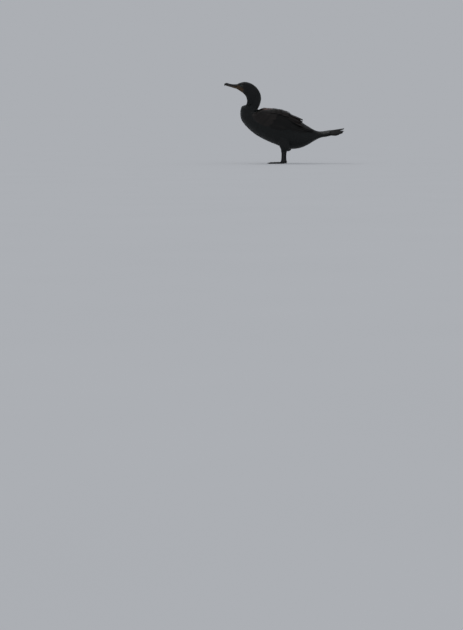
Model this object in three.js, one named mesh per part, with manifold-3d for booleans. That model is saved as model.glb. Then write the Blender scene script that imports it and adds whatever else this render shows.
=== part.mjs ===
// A life-size double-crested cormorant that stands with its neck drawn back in an S and its wings folded.
// Millimetres, +Z up. The bird looks along -X, its left side is -Y, and the floor it stands on is Z = 0.
// The origin is on the floor, under the middle of the length from the bill's tip to the tail's tip.
import * as THREE from "three";
import { mergeVertices } from "three/addons/utils/BufferGeometryUtils.js";
import Module from "manifold-3d";

const wasm = await Module();
wasm.setup();

// Driving dimensions
const GAP = 0.3; // left between neighbouring pieces
const LENGTH = 597; // tip of the bill to tip of the tail, in this pose
const BILL_TIP_X = -LENGTH / 2;
const TAIL_TIP_X = LENGTH / 2;
const EYE = { x: -212, z: 386.5, y: 12.4, radius: 5.8, lidRadius: 5.1, lid: 1.2, lidY: 15.9 };
const GAPE = { x: -199.5, z: 368 }; // the corner of the mouth
const BILL_BASE = { x: -235, mouthZ: 382.4 };
const LEG = { spread: 34, leftX: -5.5, rightX: 6.5, footZ: 13, toeOut: 9 };
const VANE = 0.8; // thickness of a feather at its shaft
const VANE_EDGE = 0.5;
const MERGE = 1e-3; // vertices nearer than this are one
const STEP = 1e-3; // step in s and angle that a direction on a surface is measured with

// The colours and finishes
const finish = (color, roughness) => new THREE.MeshStandardMaterial({ color, roughness, metalness: 0 });
const BLACK_PLUMAGE = finish(0x15171a, 0.55);
const BRONZE_PLUMAGE = finish(0x2b2622, 0.6);
const BARE_SKIN = finish(0xc97a1c, 0.5);
const BILL_HORN = finish(0x4a4438, 0.4);
const EYE_GREEN = finish(0x1f8f7a, 0.1);
const LEG_SKIN = finish(0x121213, 0.5);
const CLAW_HORN = finish(0x0c0c0c, 0.35);

// Side profile of head, neck and body. Each station is one cross-section: the point on the upper side
// (crown, nape, back), the point on the lower side (throat, breast, belly), and half its width.
const BODY = [
  { at: "bill base", top: [-234, 396], low: [-236, 371.5], half: 11 },
  { at: "lores", top: [-217, 402.5], low: [-222.5, 363.8], half: 15.5 },
  { at: "crown", top: [-196, 406.5], low: [-209, 354.2], half: 19 },
  { at: "hind crown", top: [-175, 402.6], low: [-198, 344.6], half: 20.5 },
  { at: "throat", top: [-155, 393.5], low: [-190, 334.5], half: 21.5 },
  { at: "nape", top: [-134.5, 376], low: [-185.8, 322], half: 23 },
  { at: "upper neck", top: [-119, 350.8], low: [-184.3, 310.5], half: 24.5 },
  { at: "middle neck", top: [-113.8, 325], low: [-186, 300.5], half: 26 },
  { at: "neck bend", top: [-117, 304], low: [-190.5, 292.5], half: 28.5 },
  { at: "top of breast", top: [-122.5, 287.5], low: [-208.5, 286.2], half: 33 },
  { at: "neck root", top: [-128.5, 276], low: [-215.8, 270], half: 39 },
  { at: "fold behind neck", top: [-130, 269], low: [-218.2, 243], half: 46 },
  { at: "breast", top: [-121, 270.5], low: [-209.5, 212.5], half: 54 },
  { at: "shoulder", top: [-103, 276], low: [-183.5, 181], half: 60 },
  { at: "mantle", top: [-76, 274.7], low: [-145, 147.6], half: 65 },
  { at: "middle back", top: [-39, 272.2], low: [-98, 120.6], half: 68 },
  { at: "lower back", top: [6, 260.5], low: [-43.5, 97], half: 67 },
  { at: "loins", top: [50, 233.5], low: [17, 75.2], half: 61 },
  { at: "rump", top: [92, 204], low: [71.5, 76], half: 51 },
  { at: "vent", top: [128, 181], low: [114, 91], half: 38 },
  { at: "tail coverts", top: [158, 164.5], low: [148.5, 111.5], half: 27 },
  { at: "tail root", top: [184, 158.5], low: [182, 129.5], half: 20 },
  { at: "tail base", top: [213, 161], low: [211, 135.5], half: 14 },
];
const WIDEST = 0.08; // how far above the middle of a section it is widest, as a share of half its height

// Value of a smooth curve through values[0..n] at the position s, which runs from 0 to n
function through(values, s) {
  const last = values.length - 1;
  const i = Math.min(Math.max(Math.floor(s), 0), last - 1);
  const at = (k) => {
    if (k < 0) return 2 * values[0] - values[1];
    if (k > last) return 2 * values[last] - values[last - 1];
    return values[k];
  };
  const t = s - i;
  const [a, b, c, d] = [at(i - 1), at(i), at(i + 1), at(i + 2)];
  return b + 0.5 * t * (c - a + t * (2 * a - 5 * b + 4 * c - d + t * (3 * (b - c) + d - a)));
}

// A profile's section at s: its middle, the vector from there to its top, its plane's normal, half its width
function sectionAt(profile, s) {
  const along = (pick) => through(profile.map(pick), s);
  const top = new THREE.Vector3(along((p) => p.top[0]), 0, along((p) => p.top[1]));
  const low = new THREE.Vector3(along((p) => p.low[0]), 0, along((p) => p.low[1]));
  const up = top.clone().sub(low).multiplyScalar(0.5);
  return {
    middle: top.clone().add(low).multiplyScalar(0.5),
    up,
    normal: new THREE.Vector3(up.z, 0, -up.x).normalize(),
    half: along((p) => p.half),
  };
}

// A point of a profile's skin. The angle runs from 0 on top to PI underneath, on the side of +Y.
function skinPoint(profile, s, angle, options = {}) {
  const { grow = 0, square = 2, share = 1, shift = 0, widest = WIDEST } = options;
  const ring = sectionAt(profile, s);
  const bend = (v) => Math.sign(v) * Math.abs(v) ** (2 / square);
  const [c, q] = [bend(Math.cos(angle)), bend(Math.sin(angle))];
  const height = ring.up.length();
  const rise = (c * (height + grow) + widest * q * q * height) * share;
  return ring.middle
    .addScaledVector(ring.up.normalize(), rise)
    .addScaledVector(ring.normal, shift)
    .add(new THREE.Vector3(0, q * (ring.half + grow) * share, 0));
}

// Solids
function solid(geometry) {
  const bare = new THREE.BufferGeometry().setAttribute("position", geometry.getAttribute("position"));
  bare.setIndex(geometry.index);
  const merged = mergeVertices(bare, MERGE);
  const corners = merged.index.array;
  const kept = [];
  for (let i = 0; i < corners.length; i += 3) {
    const [a, b, c] = corners.slice(i, i + 3);
    if (a !== b && b !== c && a !== c) kept.push(a, b, c);
  }
  const make = (order) =>
    new wasm.Manifold(
      new wasm.Mesh({
        numProp: 3,
        vertProperties: new Float32Array(merged.getAttribute("position").array),
        triVerts: new Uint32Array(order),
      }),
    );
  const made = make(kept);
  return made.volume() > 0 ? made : make(kept.reverse());
}

const join = (pieces) => pieces.reduce((all, piece) => all.add(piece));

const largest = (made) =>
  made.decompose().reduce((best, body) => (body.volume() > best.volume() ? body : best));

function geometryOf(made) {
  const mesh = made.getMesh();
  return new THREE.BufferGeometry()
    .setAttribute("position", new THREE.BufferAttribute(new Float32Array(mesh.vertProperties), 3))
    .setIndex(new THREE.BufferAttribute(new Uint32Array(mesh.triVerts), 1));
}

// A closed tube: a cylinder whose every vertex is moved to place(t, angle, share of the radius)
function tube(around, along, place) {
  const geometry = new THREE.CylinderGeometry(1, 1, 1, around, along);
  const position = geometry.getAttribute("position");
  for (let i = 0; i < position.count; i++) {
    const [x, y, z] = [position.getX(i), position.getY(i), position.getZ(i)];
    const p = place(y + 0.5, Math.atan2(x, z), Math.min(1, Math.hypot(x, z)));
    position.setXYZ(i, p.x, p.y, p.z);
  }
  return solid(geometry);
}

// The stretch of a profile between two stations, with flat ends that keep half the gap each
function loft(profile, from, to, around, rings, options = {}) {
  const shift = options.openEnds ? 0 : GAP / 2;
  return tube(around, rings, (t, angle, share) => {
    const ring = Math.round(t * rings);
    const end = ring === 0 ? 1 : ring === rings ? -1 : 0;
    return skinPoint(profile, from + (to - from) * t, angle, { ...options, share, shift: end * shift });
  });
}

// A thin closed sheet: a plane and its copy, both split alike, joined round their edge.
// place(u, v, side) gives the point of the upper face at side 1 and of the lower at side 0.
function sheet(columns, rows, place) {
  const plane = new THREE.PlaneGeometry(1, 1, columns, rows);
  const from = plane.getAttribute("position");
  const count = from.count;
  const points = [];
  for (const side of [1, 0]) {
    for (let i = 0; i < count; i++) {
      const p = place(from.getX(i) + 0.5, 0.5 - from.getY(i), side);
      points.push(p.x, p.y, p.z);
    }
  }
  const upper = [...plane.index.array];
  const faces = [...upper];
  for (let i = 0; i < upper.length; i += 3) {
    faces.push(upper[i] + count, upper[i + 2] + count, upper[i + 1] + count);
  }
  const edge = [];
  for (let c = 0; c < columns; c++) edge.push([c, 0]);
  for (let r = 0; r < rows; r++) edge.push([columns, r]);
  for (let c = columns; c > 0; c--) edge.push([c, rows]);
  for (let r = rows; r > 0; r--) edge.push([0, r]);
  edge.forEach(([c, r], i) => {
    const [nextC, nextR] = edge[(i + 1) % edge.length];
    const a = r * (columns + 1) + c;
    const b = nextR * (columns + 1) + nextC;
    faces.push(a, b, a + count, b, b + count, a + count);
  });
  const geometry = new THREE.BufferGeometry();
  geometry.setAttribute("position", new THREE.Float32BufferAttribute(points, 3));
  geometry.setIndex(faces);
  return solid(geometry);
}

// Seeded draw, so that the feathers vary the same way in each run
function seeded(seed) {
  let state = seed >>> 0;
  return () => {
    state = (Math.imul(state, 1664525) + 1013904223) >>> 0;
    return state / 4294967296 - 0.5;
  };
}

// A feather's half width along its length: a narrow root, parallel sides and a tip that is round or pointed
const OUTLINE = { root: 0.45, widening: 2.2, tip: 0.22 };
function featherWidth(t, point) {
  const root = Math.min(1, OUTLINE.root + OUTLINE.widening * t);
  const tip = t < 1 - point ? 1 : Math.sqrt(Math.max(0, 1 - ((t - 1 + point) / point) ** 2));
  return root * Math.max(tip, OUTLINE.tip);
}

// One feather along a row of frames {p, side, up}, arched a little across its width
function feather(frames, width, { point = 0.35, arch = 0.08 } = {}) {
  const rows = frames.length - 1;
  return sheet(2, rows, (u, v, face) => {
    const frame = frames[Math.round(v * rows)];
    const across = 2 * u - 1;
    const half = (width / 2) * featherWidth(v, point);
    const thick = (across === 0 ? VANE : VANE_EDGE) * (face - 0.5);
    return frame.p
      .clone()
      .addScaledVector(frame.side, across * half)
      .addScaledVector(frame.up, thick - arch * half * across * across);
  });
}

// Frames for a feather that lies on a surface, from (s, angle), heading back and turned up by heading.
// It rises from height low above the surface to height high, evenly or, where curve is above 1, late.
// lean tips it sideways, as tiles overlap.
const LONG_FEATHER = 70;
function layOn(surface, { s, angle, heading, length, low, high, curve = 1, lean = 0 }) {
  const frames = [];
  const rows = length > LONG_FEATHER ? 3 : 2;
  let [cs, ca] = [s, angle];
  for (let k = 0; k <= rows; k++) {
    const p = surface(cs, ca);
    const ds = surface(cs + STEP, ca).sub(p).divideScalar(STEP);
    const da = surface(cs, ca + STEP).sub(p).divideScalar(STEP);
    const along = ds.clone().normalize();
    const down = da.clone().addScaledVector(along, -da.dot(along)).normalize();
    const up = new THREE.Vector3().crossVectors(along, down);
    if (up.dot(p.clone().sub(surface(cs, ca + Math.PI))) < 0) up.negate();
    const t = k / rows;
    const forth = along.multiplyScalar(Math.cos(heading)).addScaledVector(down, -Math.sin(heading));
    const side = new THREE.Vector3().crossVectors(up, forth).normalize();
    const outward = Math.sign(down.dot(side));
    side.addScaledVector(up, lean * outward).normalize();
    frames.push({ p: p.addScaledVector(up, low + (high - low) * t ** curve), side, up });
    const hop = length / rows;
    cs += (Math.cos(heading) * hop) / ds.length();
    ca -= (Math.sin(heading) * hop) / da.length();
  }
  return frames;
}

// A flat outline in X and Z, made a prism that runs across the bird
function prism(points, halfWidth) {
  const shape = new THREE.Shape(points.map(([x, z]) => new THREE.Vector2(x, z)));
  const geometry = new THREE.ExtrudeGeometry(shape, { depth: 2 * halfWidth, bevelEnabled: false });
  return solid(geometry.translate(0, 0, -halfWidth).rotateX(Math.PI / 2));
}

const degrees = (angle) => THREE.MathUtils.degToRad(angle);

// Flesh of head, neck and body
const stops = Object.fromEntries(BODY.map((s, i) => [s.at, i]));
const bodyBetween = (from, to, around, rings, options) =>
  loft(BODY, stops[from], stops[to], around, rings, options);
const torso = bodyBetween("fold behind neck", "tail coverts", 20, 14);
const CLEARANCE = { grow: 1.6 * GAP, openEnds: true };
const torsoClearance = bodyBetween("fold behind neck", "tail coverts", 20, 14, CLEARANCE);

// The bare pouch of the throat lies under the gape, and its edge runs down from the corner of the mouth
const POUCH = [
  [BILL_BASE.x - 3, BILL_BASE.mouthZ + 0.6],
  [GAPE.x, GAPE.z],
  [GAPE.x - 3, GAPE.z - 11],
  [GAPE.x - 9, GAPE.z - 30],
  [BILL_BASE.x - 3, GAPE.z - 30],
];
const POUCH_GAP = { x: 0.35, z: 0.25 }; // how far the pouch's prism moves to leave the gap round it
const ACROSS_HEAD = 30;
const EYE_GRID = [14, 8];

function makeHead() {
  const whole = bodyBetween("bill base", "nape", 18, 13);
  const pouch = whole.intersect(prism(POUCH, ACROSS_HEAD));
  const opening = POUCH.map(([x, z]) => [x + POUCH_GAP.x, z + POUCH_GAP.z]);
  let head = whole.subtract(prism(opening, ACROSS_HEAD));
  const eyes = {};
  for (const [name, side] of [["left", -1], ["right", 1]]) {
    const sphere = (radius) =>
      new THREE.SphereGeometry(radius, ...EYE_GRID).translate(EYE.x, side * EYE.y, EYE.z);
    const lid = new THREE.TorusGeometry(EYE.lidRadius, EYE.lid, 5, 14)
      .rotateX(Math.PI / 2)
      .translate(EYE.x, side * EYE.lidY, EYE.z);
    head = head.add(solid(lid)).subtract(solid(sphere(EYE.radius + GAP)));
    eyes[name] = solid(sphere(EYE.radius));
  }
  return { head: largest(head), pouch: largest(pouch), eyes };
}

// Bill, from its tip back to the head
const UPPER_BILL = [
  { at: "hook", top: [BILL_TIP_X, 390.8], low: [-296.6, 385.8], half: 1 },
  { at: "hook bend", top: [-297.3, 396.4], low: [-293, 388.8], half: 3 },
  { at: "nail", top: [-291, 401], low: [-288.3, 391.8], half: 4.4 },
  { at: "behind nail", top: [-284, 401.4], low: [-283, 392], half: 5 },
  { at: "middle", top: [-271, 397.6], low: [-271.5, 389.8], half: 5.7 },
  { at: "ridge", top: [-253, 394.8], low: [-254, 386.5], half: 7.2 },
  { at: "base", top: [-234.05, 395.6], low: [-235.1, 382.7], half: 10.4 },
];
const LOWER_BILL = [
  { at: "tip", top: [-288.6, 390.5], low: [-288.2, 386.9], half: 2 },
  { at: "front", top: [-282, 391.4], low: [-281, 384.8], half: 4.2 },
  { at: "middle", top: [-266, 388.5], low: [-266, 380.4], half: 5.8 },
  { at: "rear", top: [-250, 385.35], low: [-250.5, 375.4], half: 7.8 },
  { at: "base", top: [-235.12, 382.3], low: [-235.98, 371.8], half: 10 },
];
const BILL_SHAPE = { square: 2.5, widest: 0 };
const GROOVE = { angle: degrees(64), radius: 0.7, from: 2.4, to: 6.2 };

function makeUpperBill() {
  const bill = loft(UPPER_BILL, 0, UPPER_BILL.length - 1, 14, 16, BILL_SHAPE);
  const grooves = [-1, 1].map((side) =>
    tube(5, 8, (t, angle, share) => {
      const s = GROOVE.from + (GROOVE.to - GROOVE.from) * t;
      const r = GROOVE.radius * share * Math.sin(Math.PI * Math.min(1, 0.25 + t));
      const middle = skinPoint(UPPER_BILL, s, side * GROOVE.angle, BILL_SHAPE);
      return middle.add(new THREE.Vector3(0, r * Math.cos(angle), r * Math.sin(angle)));
    }),
  );
  return largest(grooves.reduce((all, groove) => all.subtract(groove), bill));
}

const makeLowerBill = () => loft(LOWER_BILL, 0, LOWER_BILL.length - 1, 12, 8, BILL_SHAPE);

// Folded wing. Its flesh covers the body's side between these angles, from the wrist back to the loins.
const WING = { from: 12, to: 18.6 };
const WING_TOP = [70, 44, 33, 27, 24, 22, 24, 34].map(degrees);
const WING_LOW = [96, 108, 111, 109, 105, 97, 80, 56].map(degrees);
const edgeOf = (edge, s) => through(edge, Math.min(Math.max(s - WING.from, 0), edge.length - 1));

// The wing's flesh: its depth at the rim and in the middle, how many stations it takes to rise behind the
// wrist and to fall at the rear, what share of the rise its two ends start with, and the width of its edges
const CORE = { rim: 1.6, depth: 9, rise: 1.2, fall: 2.2, atWrist: 0.15, atRear: 0.1, edge: 0.3, inner: -1.5 };

// How far the wing's flesh stands above the body's skin at (s, angle)
function wingDepth(s, angle) {
  const ease = (v) => THREE.MathUtils.smoothstep(v, 0, 1);
  const front = ease((s - WING.from) / CORE.rise + CORE.atWrist);
  const rear = ease((WING.to - s) / CORE.fall + CORE.atRear);
  const top = ease((angle - edgeOf(WING_TOP, s)) / CORE.edge);
  const low = ease((edgeOf(WING_LOW, s) - angle) / CORE.edge);
  return CORE.rim + (CORE.depth - CORE.rim) * front * rear * top * low;
}

const wingSkin = (side) => (s, angle) => {
  const p = skinPoint(BODY, s, angle, { grow: wingDepth(s, angle) });
  p.y *= side;
  return p;
};

// Rows of feathers, from the deepest to the outermost. A row runs from the first pair (s, degrees) to the
// last, and its lengths, widths and headings run from the first value to the last.
const WING_ROWS = [
  { of: "primaries", count: 5, from: [16.2, 86], to: [16.0, 56], length: [126, 172], width: [19, 19],
    heading: [13, 3], low: -1, high: [3, 7], lean: 0.16, point: 0.3 },
  { of: "secondaries", count: 6, from: [14.7, 102], to: [14.9, 50], length: [96, 128], width: [25, 25],
    heading: [5, 2], low: -1.3, high: [2.4, 4], lean: 0.1, point: 0.3 },
  { of: "tertials", count: 3, from: [15.5, 44], to: [15.3, 27], length: [114, 116], width: [24, 24],
    heading: [-2, -3], low: -1, high: [11, 21], curve: 1.5, lean: 0.12, point: 0.4 },
  { of: "greater coverts", count: 6, from: [13.9, 102], to: [14.2, 50], length: [56, 64], width: [24, 25],
    heading: [4, 2], low: -1.4, high: [3, 3.4], lean: 0.1, point: 0.45 },
  { of: "median coverts", count: 5, from: [13.1, 98], to: [13.4, 54], length: [54, 58], width: [24, 25],
    heading: [4, 2], low: -1.4, high: [3, 3.4], lean: 0.1, point: 0.5 },
  { of: "lesser coverts", count: 3, from: [12.4, 90], to: [12.6, 64], length: [46, 48], width: [24, 24],
    heading: [2, 2], low: -1.2, high: [3, 3.2], lean: 0.1, point: 0.5 },
  { of: "long scapulars", count: 3, from: [14.9, 44], to: [14.7, 28], length: [74, 80], width: [24, 24],
    heading: [-2, -2], low: -1.2, high: [8.5, 12.5], curve: 1.4, lean: 0.12, point: 0.5 },
  { of: "scapulars", count: 3, from: [13.9, 48], to: [13.7, 31], length: [60, 62], width: [24, 24],
    heading: [-2, -2], low: -1.2, high: [6.5, 10.5], lean: 0.12, point: 0.5 },
];

// How much the draw changes a wing feather's place in s and its length, and the length of tail feathers
const VARY = { place: 0.05, wing: 0.08, tail: 3, coverts: 0.06 };

function makeWing(side, draw) {
  const skin = wingSkin(side);
  const core = sheet(7, 12, (u, v, face) => {
    const s = WING.from + (WING.to - WING.from) * v;
    const [top, low] = [edgeOf(WING_TOP, s), edgeOf(WING_LOW, s)];
    const angle = top + (low - top) * u;
    const inner = skinPoint(BODY, s, angle, { grow: CORE.inner });
    inner.y *= side;
    return face === 1 ? skin(s, angle) : inner;
  });
  const vanes = [];
  for (const row of WING_ROWS) {
    const mix = ([a, b], t) => a + (b - a) * t;
    for (let i = 0; i < row.count; i++) {
      const t = i / (row.count - 1);
      const frames = layOn(skin, {
        s: mix([row.from[0], row.to[0]], t) + VARY.place * draw(),
        angle: degrees(mix([row.from[1], row.to[1]], t)),
        heading: degrees(mix(row.heading, t) + draw()),
        length: mix(row.length, t) * (1 + VARY.wing * draw()),
        low: row.low,
        high: mix(row.high, t),
        curve: row.curve,
        lean: row.lean,
      });
      vanes.push(feather(frames, mix(row.width, t), { point: row.point }));
    }
  }
  return largest(join([core, ...vanes]).subtract(torsoClearance));
}

// Tail: twelve stiff feathers that share one tented surface, each a step below the one nearer the middle.
// The middle pair is longest and on top, and the outer ones are shorter and lower. Coverts close its root.
const TAIL = {
  count: 12, rootX: 166, rootZ: 155.5, tipZ: 176, rootSpread: 12, width: 16, fan: 15, shorter: 0.2,
};
const TENT = { drop: 20, reach: 44, step: 1.15 };
const COVERTS = { count: 5, spread: 10, width: 19, fan: 15, shorter: 0.14, point: 0.5, rows: 3 };
const UPPER_COVERTS = { from: [166, 161.5], to: [224, 166], drop: 16 };
const UNDER_COVERTS = { from: [152, 116], to: [214, 131], drop: -9 };
const tent = (y) => (y / TENT.reach) ** 2;

// A feather seen in plan, from its root (x, y) along yaw, with its height given by heightAt(x, y)
function planVane({ x, y, yaw, length, width, point = 0.3, rows = 4 }, heightAt) {
  return sheet(2, rows, (u, v, face) => {
    const across = 2 * u - 1;
    const half = (width / 2) * featherWidth(v, point);
    const px = x + length * v * Math.cos(yaw) - across * half * Math.sin(yaw);
    const py = y + length * v * Math.sin(yaw) + across * half * Math.cos(yaw);
    const thick = (across === 0 ? VANE : VANE_EDGE) * (face - 1);
    return new THREE.Vector3(px, py, heightAt(px, py) + thick);
  });
}

function makeTailFeather(i, draw) {
  const k = (2 * i) / (TAIL.count - 1) - 1;
  const run = TAIL_TIP_X - TAIL.rootX;
  const yaw = degrees(TAIL.fan * k);
  const middlePair = Math.abs(k) < 1.5 / TAIL.count;
  const length = middlePair
    ? run / Math.cos(yaw)
    : run * (1 - TAIL.shorter * Math.abs(k) ** 1.5) + VARY.tail * draw();
  const level = Math.abs(i - (TAIL.count >> 1)) * TENT.step;
  const slope = (TAIL.tipZ - TAIL.rootZ) / run;
  return planVane(
    { x: TAIL.rootX, y: TAIL.rootSpread * k, yaw, length, width: TAIL.width },
    (x, y) => TAIL.rootZ + slope * (x - TAIL.rootX) - TENT.drop * tent(y) - level,
  );
}

function makeTailCoverts(row, draw) {
  const [[fromX, fromZ], [toX, toZ]] = [row.from, row.to];
  const slope = (toZ - fromZ) / (toX - fromX);
  return Array.from({ length: COVERTS.count }, (_, i) => {
    const k = (2 * i) / (COVERTS.count - 1) - 1;
    const level = Math.sign(row.drop) * i * 0.5 * VANE;
    const reach = (toX - fromX) * (1 - COVERTS.shorter * Math.abs(k));
    const length = reach * (1 + VARY.coverts * draw());
    return planVane(
      { ...COVERTS, x: fromX, y: COVERTS.spread * k, yaw: degrees(COVERTS.fan * k), length },
      (x, y) => fromZ + slope * (x - fromX) - row.drop * tent(y) - level,
    );
  });
}

function makeTail(draw) {
  const flesh = bodyBetween("tail coverts", "tail base", 16, 6);
  const feathers = Array.from({ length: TAIL.count }, (_, i) => makeTailFeather(i, draw));
  const coverts = [UPPER_COVERTS, UNDER_COVERTS].flatMap((row) => makeTailCoverts(row, draw));
  return largest(join([flesh, ...feathers, ...coverts]));
}

// Legs. A section's top is its rear point and its low is its front point. Stations run from the hip down.
const THIGH = [
  { at: "flank", top: [24, 158], low: [-30, 158], half: 20 },
  { at: "hip", top: [34, 130], low: [-27, 130], half: 22 },
  { at: "thigh", top: [38, 106], low: [-22, 106], half: 21.5 },
  { at: "knee", top: [37, 84], low: [-15, 86], half: 18.5 },
  { at: "shin", top: [26, 65], low: [-8, 71], half: 12 },
  { at: "ankle", top: [9.5, 60.5], low: [-7.5, 62.5], half: 6.6 },
];
const TARSUS = [
  { at: "ankle", top: [9, 60.5], low: [-7.5, 62.5], half: 6 },
  { at: "below ankle", top: [7.5, 51], low: [-6.3, 52], half: 4.6 },
  { at: "middle", top: [6.4, 36], low: [-6.2, 36], half: 4 },
  { at: "lower", top: [6.8, 22], low: [-7, 22], half: 4.6 },
  { at: "foot", top: [8, LEG.footZ], low: [-9, LEG.footZ], half: 6.2 },
];
const ROUND = { widest: 0 };

const onLeg = (made, side) => made.translate([side < 0 ? LEG.leftX : LEG.rightX, side * LEG.spread, 0]);
const makeThigh = (side) =>
  largest(onLeg(loft(THIGH, 0, THIGH.length - 1, 12, 9, ROUND), side).subtract(torsoClearance));
const makeTarsus = (side) => onLeg(loft(TARSUS, 0, TARSUS.length - 1, 10, 8, ROUND), side);

// Feet: four toes, the outer one longest, all joined by webs. Angles run outwards from straight ahead.
const TOES = [
  { angle: -96, length: 25, radius: 3.6, joints: 1 },
  { angle: -30, length: 45, radius: 4, joints: 2 },
  { angle: -3, length: 66, radius: 4.2, joints: 3 },
  { angle: 23, length: 82, radius: 4.2, joints: 4 },
];
const WEB = { low: 0.9, high: 2.1, rise: 1.4, from: 0.14, to: 0.97, notch: 0.2 };
const CLAW = { radius: 2.5, taper: 0.9, narrow: 0.8, reach: 10.5, least: 0.7, arch: 1.6, drop: 1.2 };
const TOE = { swell: 0.13, taper: 0.32, climb: 4, climbOver: 16 };
const PAD = 0.82; // height of a toe's middle above the floor, as a share of its radius
const KNUCKLE = { x: -0.5, long: 8.5, wide: 6.2, swell: 0.25 };
const LONGEST_TOE = Math.max(...TOES.map((toe) => toe.length));

const headingOf = (angle, side) => {
  const a = degrees(angle + LEG.toeOut);
  return new THREE.Vector3(-Math.cos(a), side * Math.sin(a), 0);
};

// A toe's middle, and its radius, at the share t of its length
function toeAt(toe, side, t) {
  const swell = 1 + TOE.swell * Math.cos(2 * Math.PI * toe.joints * t);
  const r = toe.radius * (1 - TOE.taper * t) * swell;
  const climb = TOE.climb * Math.max(0, 1 - (t * toe.length) / TOE.climbOver) ** 2;
  const p = headingOf(toe.angle, side).multiplyScalar(toe.length * t);
  p.z = PAD * r + climb;
  return { p, r };
}

function makeToe(toe, side) {
  const along = headingOf(toe.angle, side);
  const across = new THREE.Vector3(0, 0, 1).cross(along);
  return tube(7, 2 * toe.joints + 2, (t, angle, share) => {
    const { p, r } = toeAt(toe, side, t);
    p.addScaledVector(across, r * share * Math.sin(angle));
    p.z = Math.max(0, p.z + r * share * Math.cos(angle));
    return p;
  });
}

function makeWeb(a, b, side) {
  return sheet(4, 3, (u, v, face) => {
    const angle = a.angle + (b.angle - a.angle) * u;
    const reach = (a.length + (b.length - a.length) * u) * (1 - WEB.notch * Math.sin(Math.PI * u));
    const far = WEB.to * (WEB.from + (1 - WEB.from) * v);
    const p = headingOf(angle, side).multiplyScalar(reach * far);
    p.z = face === 1 ? WEB.high + WEB.rise * (1 - v) : WEB.low;
    return p;
  });
}

function makeFoot(side) {
  const knuckle = tube(10, 5, (t, angle, share) => {
    const height = (LEG.footZ - GAP / 2) * (1 - t);
    const swell = 1 + KNUCKLE.swell * Math.sin(Math.PI * Math.min(1, 1.3 * t));
    return new THREE.Vector3(
      KNUCKLE.x + KNUCKLE.long * swell * share * Math.cos(angle),
      KNUCKLE.wide * swell * share * Math.sin(angle),
      Math.max(0, height),
    );
  });
  const toes = TOES.map((toe) => makeToe(toe, side));
  const webs = TOES.slice(1).map((toe, i) => makeWeb(TOES[i], toe, side));
  return largest(onLeg(join([knuckle, ...toes, ...webs]), side));
}

function makeClaw(toe, side) {
  const along = headingOf(toe.angle, side);
  const across = new THREE.Vector3(0, 0, 1).cross(along);
  const { p: root } = toeAt(toe, side, 1);
  const reach = CLAW.reach * (CLAW.least + (1 - CLAW.least) * (toe.length / LONGEST_TOE));
  const made = tube(5, 4, (t, angle, share) => {
    const r = CLAW.radius * share * (1 - CLAW.taper * t);
    const p = root.clone().addScaledVector(along, GAP + reach * t);
    p.z += CLAW.arch * Math.sin(Math.PI * 0.75 * t) - (root.z - CLAW.drop) * t * t;
    p.addScaledVector(across, CLAW.narrow * r * Math.sin(angle));
    p.z = Math.max(GAP, p.z + r * Math.cos(angle));
    return p;
  });
  return onLeg(made, side);
}

// The bird
const bird = new THREE.Group();
function add(name, made, material) {
  const mesh = new THREE.Mesh(geometryOf(made), material);
  mesh.name = name;
  bird.add(mesh);
}

const { head, pouch, eyes } = makeHead();
add("head", head, BLACK_PLUMAGE);
add("gular_pouch", pouch, BARE_SKIN);
add("bill_upper", makeUpperBill(), BILL_HORN);
add("bill_lower", makeLowerBill(), BARE_SKIN);
add("neck_upper", bodyBetween("nape", "neck bend", 20, 8), BLACK_PLUMAGE);
add("neck_lower", bodyBetween("neck bend", "fold behind neck", 20, 9), BLACK_PLUMAGE);
add("torso", torso, BLACK_PLUMAGE);
add("tail", makeTail(seeded(11)), BLACK_PLUMAGE);
for (const [name, side] of [["left", -1], ["right", 1]]) {
  add(`eye_${name}`, eyes[name], EYE_GREEN);
  add(`wing_${name}`, makeWing(side, seeded(20 + side)), BRONZE_PLUMAGE);
  add(`thigh_${name}`, makeThigh(side), BLACK_PLUMAGE);
  add(`leg_${name}`, makeTarsus(side), LEG_SKIN);
  add(`foot_${name}`, makeFoot(side), LEG_SKIN);
  TOES.forEach((toe, i) => add(`claw_${name}_${i + 1}`, makeClaw(toe, side), CLAW_HORN));
}

export default bird;
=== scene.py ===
"""A life-size double-crested cormorant, dressed in feathers, bare skin, horn and scales round its solids.

Sizes are in millimetres where a name or a docstring says so, and in metres everywhere else.
"""
import logging
import math
from dataclasses import dataclass, field
from enum import Enum
from functools import reduce
from typing import Callable, Sequence

import bpy
import numpy as np
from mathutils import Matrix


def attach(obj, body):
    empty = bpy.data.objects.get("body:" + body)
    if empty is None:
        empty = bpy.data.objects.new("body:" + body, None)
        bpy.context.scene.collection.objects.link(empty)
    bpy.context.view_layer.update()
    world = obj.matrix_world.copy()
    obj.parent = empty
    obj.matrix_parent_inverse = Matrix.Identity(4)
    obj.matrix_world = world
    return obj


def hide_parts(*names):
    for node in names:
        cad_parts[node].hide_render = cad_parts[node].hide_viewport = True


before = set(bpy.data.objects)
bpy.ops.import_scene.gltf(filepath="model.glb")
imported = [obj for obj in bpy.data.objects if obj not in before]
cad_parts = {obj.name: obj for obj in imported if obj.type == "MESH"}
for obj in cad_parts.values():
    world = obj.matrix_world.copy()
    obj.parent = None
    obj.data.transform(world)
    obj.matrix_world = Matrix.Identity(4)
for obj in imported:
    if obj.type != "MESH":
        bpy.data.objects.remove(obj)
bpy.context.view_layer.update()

LOG = logging.getLogger("cormorant")
MM = 0.001
# Least metres for one station and for one radian, so that nothing is divided by 0.
LEAST_ALONG = 1e-4
LEAST_ROUND = 1e-3
Array = np.ndarray
Colour = tuple[float, float, float]
Pair = tuple[float, float]
# Functions of a place along a part and an angle round it, and of these with the point there.
Shape = Callable[[Array, Array], Array]
Keep = Callable[[Array, Array, Array], Array]
Piece = bpy.types.Object
Socket = bpy.types.NodeSocket
Material = bpy.types.Material


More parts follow.
